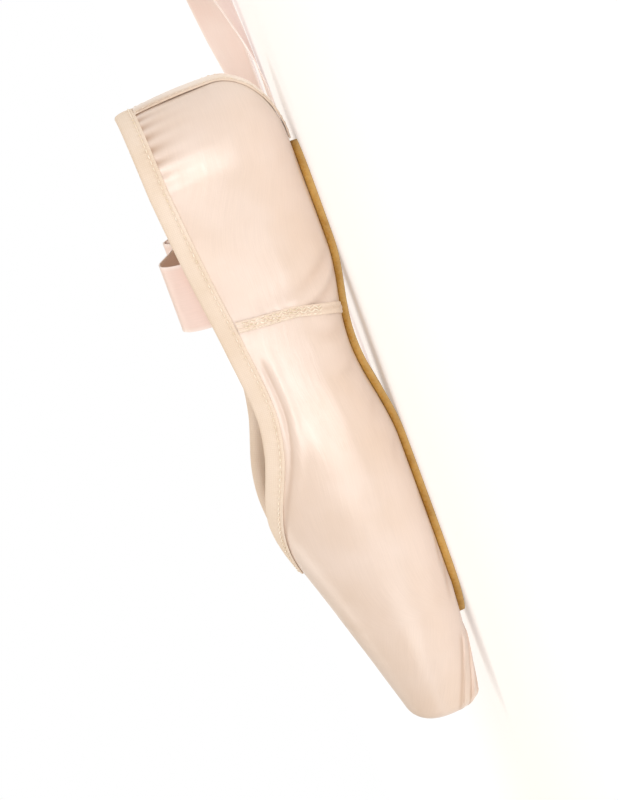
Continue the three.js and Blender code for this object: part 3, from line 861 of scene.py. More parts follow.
@dataclass
class Upper:
    """Satin upper with its lining inside: one closed shell, open at the collar and under the sole."""

    last: Last
    satin: bpy.types.Material
    lining: bpy.types.Material
    fan_steps: int = 46
    side_steps: int = 104
    vamp_steps: int = 44
    edge_steps: int = 8
    collar_steps: int = 46
    inner_steps: int = 30
    disc_steps: int = 13
    disc_dome: float = 0.25
    low_darkening: float = 0.25
    low_darkening_height: float = 9.0
    pleat_heights: tuple[float, float, float] = (0.9, 0.8, 0.6)
    outer_bands: tuple[int, ...] = (14, 3, 8, 3, 6, 3, 13)
    inner_bands: tuple[int, ...] = (4, 1, 3, 1, 2, 1, 5)
    pleat_rows: tuple[PleatRow, ...] = (
        PleatRow(197, 0.78, 1.2, 1.42),
        PleatRow(208.5, 0.55, 1.0, 1.3),
        PleatRow(223, 0.82, 1.22, 1.5),
        PleatRow(237, 1.1, 1.45, 1.7),
    )
    pleat_from: float = 207.4
    pleat_full: float = 211.5
    pleat_fade: float = 233.0
    pleat_edge: float = 0.04
    pleat_end: float = 0.4
    ripple_height: float = 0.1
    ripple_rate: float = 26.0
    ripple_top: float = 1.9
    gather_pitch: float = 4.4
    gather_height: float = 0.24
    # Strength of the painted shade in the valleys of the gathers.
    gather_shade: float = 0.45
    gather_strong: float = 26.0
    gather_loss: float = 0.85
    gather_reach: float = 40.0
    gather_wander: tuple[float, float] = (1.4, 8.3)
    gather_under: tuple[float, float] = (5.0, 6.5)
    dark_under: tuple[float, float] = (6.0, 4.5)
    dark_heel: tuple[float, float] = (30.0, 14.0)
    channel_at: float = 8.4
    channel_width: float = 0.9
    channel_depth: float = 0.3
    lip_above: tuple[float, float, float] = (3.0, 1.6, 0.15)
    swells: tuple[tuple[float, float, float], ...] = ((0.15, 9.5, 7.5), (0.08, 4.3, 5.1))
    tucked_level: float = 1.16
    tucked_from: float = 40.0
    tucked_to: float = 206.0
    seam_level: float = 1.12
    # Strength of the painted shade where the satin meets the sole.
    seam_shade: float = 0.3
    channel_from: tuple[float, float] = (90.0, 8.0)
    channel_to: tuple[float, float] = (6.0, 30.0)
    # Troughs carry a last number: the strength of their painted shade.
    creases: tuple[Crease, ...] = (
        # Drag lines from the sole's waist to the side seam.
        Crease(Side.LEFT, ((58, 1.2), (66, 1.6), (72, 2.1)), 0.5, 2.8),
        Crease(Side.LEFT, ((64, 1.15), (71, 1.6), (77, 2.1)), -0.6, 2.0, 0.2),
        Crease(Side.LEFT, ((69, 1.15), (76, 1.6), (80, 2.15)), 0.8, 2.0),
        Crease(Side.LEFT, ((74, 1.12), (80, 1.6), (81, 2.0)), -0.75, 1.6, 0.25),
        Crease(Side.LEFT, ((79, 1.12), (83.5, 1.5), (82, 1.9)), 0.5, 1.5),
        Crease(Side.LEFT, ((92, 1.15), (92.5, 1.6), (88, 2.0)), -0.5, 1.8, 0.12),
        Crease(Side.LEFT, ((96, 1.15), (97, 1.5), (93, 1.9)), 0.4, 1.9),
        Crease(Side.RIGHT, ((62, 1.15), (70, 1.6), (77, 2.1)), -0.5, 2.2, 0.15),
        Crease(Side.RIGHT, ((68, 1.15), (76, 1.7), (81, 2.1)), 0.7, 2.2),
        Crease(Side.RIGHT, ((74, 1.12), (80, 1.6), (82, 1.95)), -0.6, 1.7, 0.2),
        # Short folds along the sole between waist and ball.
        Crease(Side.LEFT, ((103, 1.15), (106, 1.5), (107, 1.8)), -0.45, 1.6, 0.12),
        Crease(Side.LEFT, ((110, 1.15), (112, 1.4), (115, 1.6)), 0.35, 1.8),
        Crease(Side.LEFT, ((117, 1.12), (120, 1.4), (126, 1.62)), -0.35, 1.7, 0.1),
        Crease(Side.LEFT, ((133, 1.12), (136, 1.35), (142, 1.5)), -0.35, 1.6, 0.1),
        Crease(Side.LEFT, ((150, 1.12), (155, 1.3), (162, 1.4)), 0.3, 1.8),
        Crease(Side.LEFT, ((172, 1.1), (178, 1.24), (187, 1.3)), -0.45, 1.3, 0.3),
        Crease(Side.LEFT, ((181, 1.08), (187, 1.26), (195, 1.36)), -0.4, 1.2, 0.35),
        Crease(Side.LEFT, ((187, 1.06), (194, 1.2), (202, 1.28)), 0.4, 1.4),
        Crease(Side.LEFT, ((176, 1.4), (184, 1.55), (196, 1.62)), -0.2, 2.2, 0.05),
        Crease(Side.RIGHT, ((106, 1.15), (110, 1.5), (114, 1.75)), -0.45, 1.7, 0.12),
        Crease(Side.RIGHT, ((126, 1.15), (130, 1.4), (136, 1.6)), 0.3, 2.0),
        Crease(Side.RIGHT, ((144, 1.12), (149, 1.3), (156, 1.4)), -0.3, 1.7, 0.08),
        Crease(Side.RIGHT, ((178, 1.08), (185, 1.26), (194, 1.34)), -0.45, 1.3, 0.3),
    )

    def stations(self) -> tuple[Array, Array]:
        """Places along the upper and the inset of its rounded front edge there."""
        last = self.last
        fan = np.linspace(-last.fan, 0, self.fan_steps + 1)[:-1]
        side = last.throat_u * (1 - np.linspace(1, 0, self.side_steps + 1)[:-1] ** 1.25)
        edge_u = last.platform_s - last.platform_round - last.heel_axis_s
        vamp = np.linspace(last.throat_u, edge_u, self.vamp_steps + 1)[:-1]
        closing = np.argmin(np.abs(vamp - (last.hole_toe_s - last.heel_axis_s)))
        vamp[closing] = last.hole_toe_s - last.heel_axis_s
        angle = np.linspace(0, math.pi / 2, self.edge_steps + 1)
        edge = edge_u + last.platform_round * np.sin(angle)
        u = np.concatenate([fan, side, vamp, edge])
        inset = np.zeros(len(u))
        inset[-len(edge) :] = last.platform_round * (1 - np.cos(angle))
        return u, inset

    def pleat_levels(self, u: Array) -> Array:
        """Levels of the raised edges of the pleats at each station, as rows of three."""
        s = self.last.heel_axis_s + u
        return np.stack([column(self.pleat_rows, name, s) for name in PleatRow._fields[1:]], axis=-1)

    def levels(self, u: Array, inner: bool) -> Array:
        """Rows of levels from the turned edge up to the collar or the top line, one row a station."""
        counts = self.inner_bands if inner else self.outer_bands
        bands = [np.linspace(i, i + 1, n, endpoint=False) for i, n in enumerate(counts)]
        shares = np.concatenate([*bands, [len(counts)]])
        top = self.last.collar_level(u)
        upper_steps = self.inner_steps - sum(counts) if inner else self.collar_steps
        rise = np.linspace(0, 1, upper_steps + 1)[1:]
        rows = []
        for edges, high in zip(self.pleat_levels(u), top):
            moved = np.array([0.0] + [x for e in edges for x in (e, e + self.pleat_edge)] + [2.0])
            lower = np.interp(shares, np.arange(len(moved)), moved)
            rows.append(np.concatenate([lower, 2 + (high - 2) * rise]))
        return np.array(rows)

    def pleats(self, u: Array, v: Array) -> Array:
        """Outward relief of the folded satin under the toe."""
        last = self.last
        s = last.heel_axis_s + u
        zone = ease((s - self.pleat_from) / (self.pleat_full - self.pleat_from))
        ending = ease((s - self.pleat_fade) / (last.platform_s - self.pleat_fade))
        fade = 1 - (1 - self.pleat_end) * ending
        edges = self.pleat_levels(u[:, 0])
        relief = np.zeros_like(v)
        below = np.full(len(edges), -math.inf)
        done = np.zeros(v.shape, bool)
        for k, height in enumerate(self.pleat_heights):
            edge = edges[:, k]
            here = (v <= edge[:, None] + 1e-9) & ~done
            climb = np.ones_like(v)
            if k:
                climb = np.maximum(0.0, (v - below[:, None]) / (edge - below)[:, None])
            relief = np.where(here, height * climb, relief)
            done |= here
            below = edge + self.pleat_edge
        inner = edges[:, :1]
        ripple = self.ripple_height * np.sin(self.ripple_rate * (v - inner))
        ripple = ripple * (v > inner + self.pleat_edge) * (v < self.ripple_top)
        return (relief + ripple * ease((self.ripple_top - v) / 0.5)) * zone * fade

    def pleat_shade(self, u: Array, v: Array) -> Array:
        """Duller tone of the middle panel under the toe, and painted shade beside each folded edge."""
        s = self.last.heel_axis_s + u
        edges = self.pleat_levels(u[:, 0])
        shade = 0.16 * ease((edges[:, :1] - v) / 0.05)
        for k in range(edges.shape[1]):
            beside = v - edges[:, k : k + 1] - self.pleat_edge
            shade = shade + 0.5 * bell(beside - 0.02, 0.045) * (beside >= -self.pleat_edge / 2)
        return shade * ease((s - self.pleat_from) / (self.pleat_full - self.pleat_from))

    def gathers(self, u: Array, v: Array, side: Side) -> tuple[Array, Array]:
        """Relief and painted shade of the gathers under the binding, strongest at the heel, and of its
        channel.
        """
        last = self.last
        edge_u = u[:, 0]
        level = last.collar_level(edge_u)
        rate = np.linalg.norm(last.slopes(edge_u, level - 0.01)[1], axis=-1)
        below = (level[:, None] - v) * rate[:, None]
        run = run_lengths(last.point(edge_u, level))[:, None]
        strength = 1 - self.gather_loss * ease((run - self.gather_strong) / self.gather_strong)
        spans = (self.gather_under, self.dark_under)
        fade, dark = (np.exp(-np.maximum(0.0, below - full) / over) for full, over in spans)
        bend, length = self.gather_wander
        phase = bend * np.sin(run / length + 0.6 * side.value) + 0.5 * below / 6
        waves = np.sin(2 * math.pi * run / self.gather_pitch + phase)
        open_edge = ease((last.throat_u - u) / 12)
        relief = self.gather_height * waves * strength * (fade * (below < self.gather_reach)) * open_edge
        # Painted shade: darker in the valleys of the gathers, most under the binding at the heel.
        marking = (self.gather_shade - self.gather_shade * waves) * strength * dark * open_edge
        heel = 1 - ease((run - self.dark_heel[0]) / self.dark_heel[1])
        s = last.heel_axis_s + u
        start, stop = self.channel_from, self.channel_to
        arm = ease((s - start[0]) / start[1]) * ease((last.throat_s - stop[0] - s) / stop[1])
        channel = bell(below - self.channel_at, self.channel_width) * arm
        lip_at, lip_width, lip_height = self.lip_above
        lip = lip_height * bell(below - self.channel_at - lip_at, lip_width) * arm
        # Painted shade also fills the channel, as strong as its depth.
        marking = np.clip(marking, 0, 1) * heel * 0.9 + self.channel_depth * channel
        return relief - self.channel_depth * channel + lip, np.clip(marking, 0, 1)

    def drape(self, u: Array, v: Array, inset: Array, side: Side) -> tuple[Array, Array]:
        """All relief of one side's satin, outward, and its painted shade."""
        last = self.last
        base = last.point(u, v, inset)
        relief = self.pleats(u, v)
        gather, marking = self.gathers(u, v, side)
        relief = relief + gather
        for crease in self.creases:
            if crease.side is side:
                crease.apply(last, base, relief, marking)
        s = last.heel_axis_s + u
        x, z = base[..., 0], base[..., 2]
        (large, long, tall), (small, short, low) = self.swells
        swell = large * np.sin(x / long + side.value) * np.sin(z / tall + 0.4)
        swell = swell + small * np.sin(x / short + z / low)
        relief = relief + swell * ease((v - 1.05) / 0.4) * ease((last.platform_s - 6 - s) / 10)
        join = ease((last.fan + u) / 6)
        top = np.where(u > last.throat_u, ease((3 - v) / 0.12), 1.0)
        free = ease((v - 0.2) / 0.3)
        relief = relief * join * top * free + self.pleats(u, v) * (1 - free)
        marking = marking + self.pleat_shade(u, v)
        behind = ease((self.tucked_to - s) / 8)
        tucked = ease((self.tucked_level - v) / 0.2) * ease((s - self.tucked_from) / 10) * behind
        # Painted shade along the line where the satin meets the sole.
        seam = bell(np.abs(v - self.seam_level), 0.1) * behind * self.seam_shade
        return relief * (1 - tucked), np.clip(marking + seam, 0, 1)

    def build(self) -> Piece:
        """Gathers the outer and inner skins, the edges between them and the platform."""
        last = self.last
        piece = Piece("upper_satin")
        u, rounding = self.stations()
        s = last.heel_axis_s + u
        outer_v, inner_v = self.levels(u, False), self.levels(u, True)
        outer_u = np.repeat(u[:, None], outer_v.shape[1], axis=1)
        back = last.platform_wall * ease((s - last.throat_s) / (last.platform_s - last.throat_s))
        inner_u = np.repeat((u - back)[:, None], inner_v.shape[1], axis=1)
        closed = s >= last.hole_toe_s - 1e-6
        open_top = u <= last.throat_u + 1e-6
        rims: dict[Side, tuple[Array, Array]] = {}
        for side in Side:
            sign = side.value
            relief, marking = self.drape(outer_u, outer_v, rounding[:, None], side)
            outer = last.point(outer_u, outer_v, rounding[:, None] - relief)
            inner = last.point(inner_u, inner_v, rounding[:, None] + last.wall)
            for skin, levels in ((outer, outer_v), (inner, inner_v)):
                skin[closed, 0, 1] = 0.0
                skin[..., 1] = np.where(levels >= 3 - 1e-9, 0.0, skin[..., 1])
                skin[..., 1] *= sign
            lengths = np.broadcast_to(s[:, None], outer_v.shape) * MM
            uv = np.stack([lengths, Piece.measured(outer)[..., 1]], axis=-1)
            piece.grid(outer, flip=sign < 0, mark=marking, uv=uv)
            above = inner[..., 2]
            # The lining is darker towards the bottom.
            low_darkening = self.low_darkening * ease((last.bottom + self.low_darkening_height - above) / self.low_darkening_height)
            piece.grid(inner, flip=sign > 0, mark=low_darkening, slot=Lining.INSIDE.value)
            edge = np.stack([outer[open_top, -1], inner[open_top, -1]], axis=1)
            piece.grid(edge, flip=sign < 0, slot=Lining.INSIDE.value)
            hole = np.stack([outer[: closed.argmax() + 1, 0], inner[: closed.argmax() + 1, 0]], axis=1)
            piece.grid(hole, flip=sign > 0, slot=Lining.INSIDE.value)
            rims[side] = (outer[-1], inner[-1])
        for k, slot in ((0, Lining.OUTSIDE), (1, Lining.INSIDE)):
            left, right = rims[Side.LEFT][k], rims[Side.RIGHT][k]
            ring = np.concatenate([left, right[::-1][1:]])
            centre = np.array([ring[:, 0].mean(), 0.0, ring[:, 2].mean()])
            shares = np.linspace(1, 0, self.disc_steps + 1)
            disc = centre + (ring[:, None] - centre) * shares[None, :, None]
            disc[..., 0] += self.disc_dome * (1 - shares**2) * (k == 0)
            uv = np.stack([disc[..., 2], disc[..., 1]], axis=-1) * MM
            piece.grid(disc, flip=k == 1, uv=uv, slot=slot.value)
        return piece

    def dress(self) -> None:
        """Builds and dresses the upper."""
        dress(self.build(), "satin", [self.satin, self.lining], "upper")


@dataclass
class CollarBinding:
    """Tape folded over the collar edge, puckered by its row of stitches."""

    last: Last
    tape: bpy.types.Material
    thread: bpy.types.Material
    gap: float = 0.42
    touch: float = 0.05
    outside: float = 6.0
    inside: float = 5.0
    over: float = 1.2
    thick: float = 0.7
    pucker: float = 0.1
    pucker_width: float = 2.2
    groove_depth: float = 0.2
    groove_width: float = 0.7
    swell: float = 0.12
    swell_length: float = 5.7
    row_at: float = 4.7
    stitches: StitchRow = StitchRow(2.3, 1.6, 0.2, 0.1)

    def section(self) -> Array:
        """Folded section as rows of distance across the edge and inset, with its corners rounded."""
        inside = self.last.wall + self.gap
        corners = np.array(
            [
                [-self.outside - 0.1, -self.touch],
                [-self.outside, -self.gap - self.thick * 0.7],
                [-self.outside / 2, -self.gap - self.thick],
                [0, -self.gap - self.thick],
                [self.over, -self.gap * 0.4],
                [self.over, self.last.wall],
                [0, inside + self.thick],
                [-self.inside, inside + self.thick * 0.7],
                [-self.inside, inside],
                [-self.inside / 2, inside],
                [self.gap, inside],
                [self.gap, -self.gap],
                [-self.outside / 2, -self.touch],
            ]
        )
        for _ in range(2):
            after = np.roll(corners, -1, axis=0)
            cut = [corners * 0.75 + after * 0.25, corners * 0.25 + after * 0.75]
            corners = np.stack(cut, axis=1).reshape(-1, 2)
        return corners

    def frame_along(self, step: float) -> tuple[Array, Array, Array]:
        """Places, levels and directions away from the opening's edge, a step apart."""
        last = self.last
        u = last.collar_u(step)
        level = last.collar_level(u)
        points = last.point(u, level)
        padded = np.concatenate([flipped(points[1:2]), points, flipped(points[-2:-1])])
        tangent = unit(padded[2:] - padded[:-2])
        return u, level, unit(np.cross(tangent, last.normal(u, level)))

    def build(self) -> Piece:
        """Carries the section round the whole collar."""
        piece = Piece("binding_tape")
        u, level, away = self.frame_along(0.55)
        section = self.section()
        section = np.concatenate([section, section[:1]])
        across, inset = section[:, 0], section[:, 1]
        run = run_lengths(self.last.point(u, level))[:, None]
        outside = inset < -self.gap - 0.1
        outer = ease((-across) / 2) * outside
        wave = np.sin(2 * math.pi * run / self.stitches.pitch)
        groove = self.groove_depth * bell(across + self.row_at, self.groove_width) * outside
        waved = inset - self.pucker * wave * outer * bell(across + self.row_at, self.pucker_width) + groove
        waved = waved - self.swell * np.sin(run / self.swell_length) * outer
        points = self.last.step_over(u[:, None], level[:, None], away[:, None], across[None], waved)
        points[0, :, 1] = 0.0
        points[-1, :, 1] = 0.0
        # Painted shade in the puckered stitch groove, and a darker tone over the fold and inside.
        marking = np.clip(0.5 * bell(across + self.row_at, 0.5)[None] * (0.6 + 0.4 * wave), 0, 1) * outer
        marking = marking + 0.5 * ease((across + 0.2) / 1.2)[None] * 0.3
        for side in Side:
            half = points if side is Side.LEFT else flipped(points)
            piece.grid(half, flip=side is Side.RIGHT, mark=marking)
        return piece

    def build_stitches(self) -> Piece:
        """Sews the row near the lower edge of the tape."""
        piece = Piece("binding_stitches")
        u, level, away = self.frame_along(0.8)
        inset = -self.gap - self.thick * 0.82 + 0.1
        path = self.last.step_over(u, level, away, np.full(len(u), -self.row_at), np.full(len(u), inset))
        normals = self.last.normal(u, level)
        self.stitches.sew(piece, path, normals)
        self.stitches.sew(piece, flipped(path), flipped(normals))
        return piece

    def dress(self) -> None:
        """Builds and dresses the tape and its stitches."""
        dress(self.build(), "binding_tape", [self.tape], "collar_binding")
        dress(self.build_stitches(), "binding_tape", [self.thread])


@dataclass
class BackStrip:
    """Strip of satin over the seam at the centre of the back, stitched along both edges."""

    last: Last
    satin: bpy.types.Material
    thread: bpy.types.Material
    binding: CollarBinding
    half: float = 6.2
    thick: float = 0.7
    rows: int = 90
    columns: int = 25
    swell: float = 0.08
    ripple: float = 0.05
    groove_depth: float = 0.14
    groove_width: float = 0.45
    row_at: float = 5.2
    stitches: StitchRow = StitchRow(2.4, 1.7, 0.12, 0.02)

    def point(self, level: float, y: Array, inset: Array) -> Array:
        """Points of the heel at a level, at distances y from the centre line."""
        last = self.last
        back, half, axis = -last.fan, last.heel_back_half, last.heel_axis_s
        reach_y = np.abs(y)
        if level >= 2:
            r = axis - (last.point(back, level)[0] + last.origin_s)
            angle = np.arcsin(np.minimum(1, reach_y / r))
            points = last.point((angle / (math.pi / 2) - 1) * last.fan, level, inset)
        else:
            turn = math.sin((level - 1) * math.pi / 2)
            flat = last.heel_back_flat
            r = flat * level if level <= 1 else flat + (half - flat) * turn
            reach = np.sqrt(r * r + y * y * (1 - (r / half) ** 2))
            angle = np.arcsin(np.minimum(1, reach_y / np.maximum(reach, 1e-6)))
            u = np.minimum((angle / (math.pi / 2) - 1) * last.fan, -1e-6)
            station = last.station(u)
            share = (reach - station["flat"]) / (station["half"] - station["flat"])
            v = 1 + np.arcsin(np.clip(share, 0, 1)) / (math.pi / 2)
            points = last.point(u, np.maximum(v, 1 + 1e-6), inset)
            s = axis + station["ds"] * reach
            z = last.ground(s) + last.bottom + inset
            under = np.stack([s - last.origin_s, station["dy"] * reach, z], axis=-1)
            points = np.where((share <= 0)[:, None], under, points)
        points[:, 1] *= np.sign(y)
        return points

    def levels(self) -> Array:
        """Levels from under the heel up to the binding."""
        below = self.binding.outside + self.last.clearance
        top = float(self.last.level_below_collar(np.array(-self.last.fan), below))
        return np.concatenate([np.linspace(0.02, 0.9, 4), np.linspace(1, top, self.rows)])

    def build(self) -> Piece:
        """Lays the strip over the heel, with turned edges and soft swells."""
        piece = Piece("back_strip")
        y = self.half * np.linspace(-1, 1, self.columns)
        edge = ease((self.half - np.abs(y)) / 0.7)
        faces = {"under": [], "over": []}
        for i, level in enumerate(self.levels()):
            swell = self.swell * math.sin(i / 3.1) + self.ripple * np.sin(y / 1.3 + i / 5)
            groove = -self.groove_depth * bell(np.abs(y) - self.row_at, self.groove_width)
            proud = 0.25 * self.thick + 0.75 * self.thick * edge + (swell + groove) * edge
            faces["under"].append(self.point(level, y, -self.last.clearance + 0 * y))
            faces["over"].append(self.point(level, y, -self.last.clearance - proud))
        under, over = np.array(faces["under"]), np.array(faces["over"])
        # Painted shade in the stitch grooves and under the binding at the top.
        marking = 0.3 * bell(np.abs(y) - self.row_at, 0.4)[None] * np.ones((len(over), 1))
        heights = np.arange(len(over))[:, None] / len(over)
        marking = marking + 0.35 * ease((heights - 0.8) / 0.2)
        piece.slab(over, under, mark=marking)
        return piece

    def build_stitches(self) -> Piece:
        """Sews one row along each edge of the strip."""
        piece = Piece("back_strip_stitches")
        lines = {1: [], -1: []}
        lift = -self.last.clearance - self.thick + 0.14
        for level in self.levels()[4:]:
            for sign, line in lines.items():
                y = np.array([sign * self.row_at])
                pair = [self.point(level, y, lift), self.point(level, y, lift - 1)]
                line.append(np.concatenate(pair, axis=1)[0])
        for line in lines.values():
            both = np.array(line)
            self.stitches.sew(piece, both[:, :3], unit(both[:, 3:] - both[:, :3]))
        return piece

    def dress(self) -> None:
        """Builds and dresses the strip and its stitches."""
        dress(self.build(), "strip_satin", [self.satin], "backstay")
        dress(self.build_stitches(), "strip_satin", [self.thread])


@dataclass
class SideStrip:
    """Raised strip over a side seam, with zigzag rows that run out towards the sole."""

    last: Last
    side: Side
    satin: bpy.types.Material
    thread: bpy.types.Material
    binding: CollarBinding
    half: float = 2.0
    thick: float = 0.5
    collar_s: float = 79.0
    sole_s: float = 87.0
    lowest: float = 1.16
    rows: int = 80
    columns: int = 13
    rib: float = 0.14
    ripple: float = 0.07
    sewn: tuple[float, float] = (0.48, 0.98)
    zigzag_at: tuple[float, float] = (-1.05, 0.1)
    straight_at: float = 1.35
    zigzag: StitchRow = StitchRow(1.4, 1.6, 0.23, 0.16, 0.55)
    straight: StitchRow = StitchRow(2.0, 1.5, 0.18, 0.08)

    def line(self, share: Array) -> tuple[Array, Array]:
        """Centre of the strip from the sole, 0, to the binding, 1, as u and level."""
        collar_u = np.array(self.collar_s - self.last.heel_axis_s)
        top = self.last.level_below_collar(collar_u, self.binding.outside + 2 * self.last.clearance)
        v = self.lowest + (top - self.lowest) * share
        return self.sole_s + (self.collar_s - self.sole_s) * share - self.last.heel_axis_s, v

    def surface(self, share: Array, aside: Array, inset: Array) -> Array:
        """Points of the strip on its own side of the shoe."""
        u, v = self.line(share)
        points = self.last.point(u + aside, v, inset)
        return points if self.side is Side.LEFT else flipped(points)

    def build(self) -> Piece:
        """Lays the strip with two soft ribs and turned edges."""
        piece = Piece(f"side_strip_{self.side.name.lower()}")
        share = np.linspace(0, 1, self.rows)[:, None]
        aside = self.half * np.linspace(-1, 1, self.columns)[None]
        edge = ease((self.half - np.abs(aside)) / 0.5)
        rib = self.rib * np.cos(2 * math.pi * aside / self.half) + self.ripple * np.sin(share * 90 + aside)
        proud = self.thick * (0.3 + 0.7 * edge) + rib * edge
        over = self.surface(share, aside, -self.last.clearance - proud)
        under = self.surface(share, aside, -self.last.clearance + 0 * proud)
        marking = 0.25 * bell(aside, 0.5) * np.ones_like(share)
        piece.slab(over, under, flip=self.side is Side.LEFT, mark=marking)
        return piece

    def build_stitches(self) -> Piece:
        """Sews two zigzag rows beside a straight one."""
        piece = Piece(f"side_strip_stitches_{self.side.name.lower()}")
        share = np.linspace(*self.sewn, 120)
        lift = -self.last.clearance - self.thick + 0.02
        rows = [(at, self.zigzag) for at in self.zigzag_at] + [(self.straight_at, self.straight)]
        for offset, row in rows:
            aside = np.full_like(share, offset)
            path, raised = (self.surface(share, aside, np.full_like(share, z)) for z in (lift, lift - 1))
            row.sew(piece, path, unit(raised - path))
        return piece

    def dress(self) -> None:
        """Builds and dresses the strip and its stitches."""
        dress(self.build(), "strip_satin", [self.satin], f"side_seam_{self.side.name.lower()}")
        dress(self.build_stitches(), "strip_satin", [self.thread])


@dataclass
class Outsole:
    """Leather sole with a skived edge, stitched in a groove and scored under the forefoot."""

    last: Last
    leather: bpy.types.Material
    thread: bpy.types.Material
    edge: float = 0.8
    glue: float = 0.22
    wall_levels: tuple[float, float] = (1.5, 2.2)
    upper_round: float = 0.2
    wall_tones: tuple[float, ...] = (-0.6, -0.6, -0.6, -0.5, -0.4, -0.1, 0.2, 0.6, 0.6)
    rows: int = 420
    columns: int = 104
    groove_at: tuple[float, float] = (2.1, 4.1)
    groove_depth: float = 0.45
    groove_width: float = 0.75
    second_row: tuple[float, float] = (128.0, 150.0)
    second_stitches: float = 134.0
    score_zone: tuple[float, float] = (112.0, 132.0)
    score_inside: float = 6.0
    score_across: float = 5.6
    score_lean: float = 0.52
    score_middle: float = 160.0
    score_width: float = 0.42
    score_depth: float = 0.4
    stitches: StitchRow = StitchRow(3.4, 2.7, 0.29, -0.12)

    def outline(self, inside: float, count: int) -> Array:
        """Left half of the outline, moved inside by a distance, from heel to toe."""
        last = self.last
        t = (1 - np.cos(np.linspace(0, math.pi, 900))) / 2
        s = last.sole_heel + (last.sole_toe - last.sole_heel) * t
        line = np.stack([s, last.sole_half(s)], axis=-1)
        tangent = unit(np.gradient(line, axis=0))
        moved = line + np.stack([tangent[:, 1], -tangent[:, 0]], axis=-1) * inside
        heel, toe = last.sole_heel + inside, last.sole_toe - inside
        keep = (moved[:, 1] > 0) & (moved[:, 0] > heel) & (moved[:, 0] < toe)
        moved = np.concatenate([[[heel, 0.0]], moved[keep], [[toe, 0.0]]])
        run = run_lengths(moved)
        return at_lengths(moved, np.linspace(0, run[-1], count))

    def edge_distance(self, s: Array, y: Array) -> Array:
        """Distance of points in plan from the outline."""
        line = self.outline(0.0, 500)
        places = np.stack([s, np.abs(y)], axis=-1)
        out = np.empty(s.shape)
        for i, row in enumerate(places):
            out[i] = np.linalg.norm(row[:, None] - line[None], axis=-1).min(axis=1)
        return out

    def relief(self, s: Array, y: Array) -> tuple[Array, Array]:
        """Depth of the grooves and scored lines, and their mark, at points in plan."""
        gap = self.edge_distance(s, y)
        fore = ease((s - self.second_row[0]) / (self.second_row[1] - self.second_row[0]))
        outer, inner = (bell(gap - at, self.groove_width) for at in self.groove_at)
        groove = np.maximum(outer, inner * fore)
        zone = ease((s - self.score_zone[0]) / (self.score_zone[1] - self.score_zone[0]))
        zone = zone * ease((gap - self.score_inside) / 1.2)
        score = np.zeros_like(s)
        for lean in (self.score_lean, -self.score_lean):
            bent = (y + lean * (s - self.score_middle) + 0.25 * np.sin(s / 7.0)) / self.score_across
            off = np.abs(bent - np.round(bent)) * self.score_across
            score = np.maximum(score, bell(off, self.score_width))
        score = score * zone
        scuff = 0.05 * np.sin(s / 2.3 + np.sin(y / 3.1)) * np.sin(y / 1.9 + s / 9.0)
        depth = self.groove_depth * groove + self.score_depth * score + np.maximum(0.0, scuff)
        skived = -bell(gap, 0.9)
        # Mark: painted shade in the grooves and scored lines, and the paler skived rim.
        return depth, np.clip(np.maximum(groove * 0.8, score * 0.9) + skived * (groove < 0.2), -1, 1)

    def build(self) -> Piece:
        """Builds the plate: scored lower face, rounded edge, wall and upper face."""
        last = self.last
        piece = Piece("sole_leather_plate")
        thick = last.sole_thick + self.glue
        share = np.linspace(0, 1, self.rows)
        t = 0.45 * share + 0.55 * (1 - np.cos(math.pi * share)) / 2
        s = (last.sole_heel + (last.sole_toe - last.sole_heel) * t)[:, None]
        half = np.maximum(0.4, last.sole_half(s))
        foot = np.maximum(0.2, half - self.edge)
        y = foot * np.linspace(-1, 1, self.columns)[None]
        s_all = np.broadcast_to(s, y.shape)
        depth, mark = self.relief(s_all, y)
        ground = last.ground(s_all)
        lower = np.stack([s_all - last.origin_s, y, ground + depth * ease((foot - np.abs(y)) / 0.5)], axis=-1)
        piece.grid(lower, flip=True, mark=mark)
        angles = np.linspace(0, math.pi / 2, 5)
        out = foot + (half - foot) * np.sin(angles)[None]
        up = np.broadcast_to(self.edge * (1 - np.cos(angles))[None], out.shape)
        roof_half = half - self.upper_round
        wall = np.array([*self.wall_levels, thick - self.upper_round, thick])
        out = np.concatenate([out, np.broadcast_to(half, (self.rows, 3)), roof_half], axis=1)
        up = np.concatenate([up, np.broadcast_to(wall, (self.rows, 4))], axis=1)
        x = np.broadcast_to(s, out.shape) - last.origin_s
        for sign in (1, -1):
            band = np.stack([x, sign * out, last.ground(s) + up], axis=-1)
            # The wall is paler at its skived lower edge and darker towards its top.
            piece.grid(band, flip=sign > 0, mark=np.array(self.wall_tones))
        top = roof_half * np.linspace(-1, 1, 17)[None]
        tops = np.broadcast_to(s, top.shape)
        upper = np.stack([tops - last.origin_s, top, last.ground(tops) + thick], axis=-1)
        piece.grid(upper, mark=-0.3)
        for k in (0, -1):
            rim = lower[k]
            roof = rim + np.array([0.0, 0.0, thick])
            piece.grid(np.stack([rim, roof]), flip=k == -1, mark=-0.6)
        return piece

    def build_stitches(self) -> Piece:
        """Sews the outer row all round, and the inner row round the forefoot."""
        piece = Piece("sole_stitches")
        last = self.last
        for gap, start in zip(self.groove_at, (0.0, self.second_stitches)):
            line = self.outline(gap, 700)
            line = line[line[:, 0] >= start]
            whole = np.concatenate([line, (line * np.array([1, -1]))[::-1]])
            z = last.ground(whole[:, 0]) + self.groove_depth
            path = np.stack([whole[:, 0] - last.origin_s, whole[:, 1], z], axis=-1)
            self.stitches.sew(piece, path, np.broadcast_to([0.0, 0.0, -1.0], path.shape))
        return piece

    def dress(self) -> None:
        """Builds and dresses the plate and its stitches."""
        dress(self.build(), "sole_leather", [self.leather], "outsole")
        dress(self.build_stitches(), "sole_leather", [self.thread])


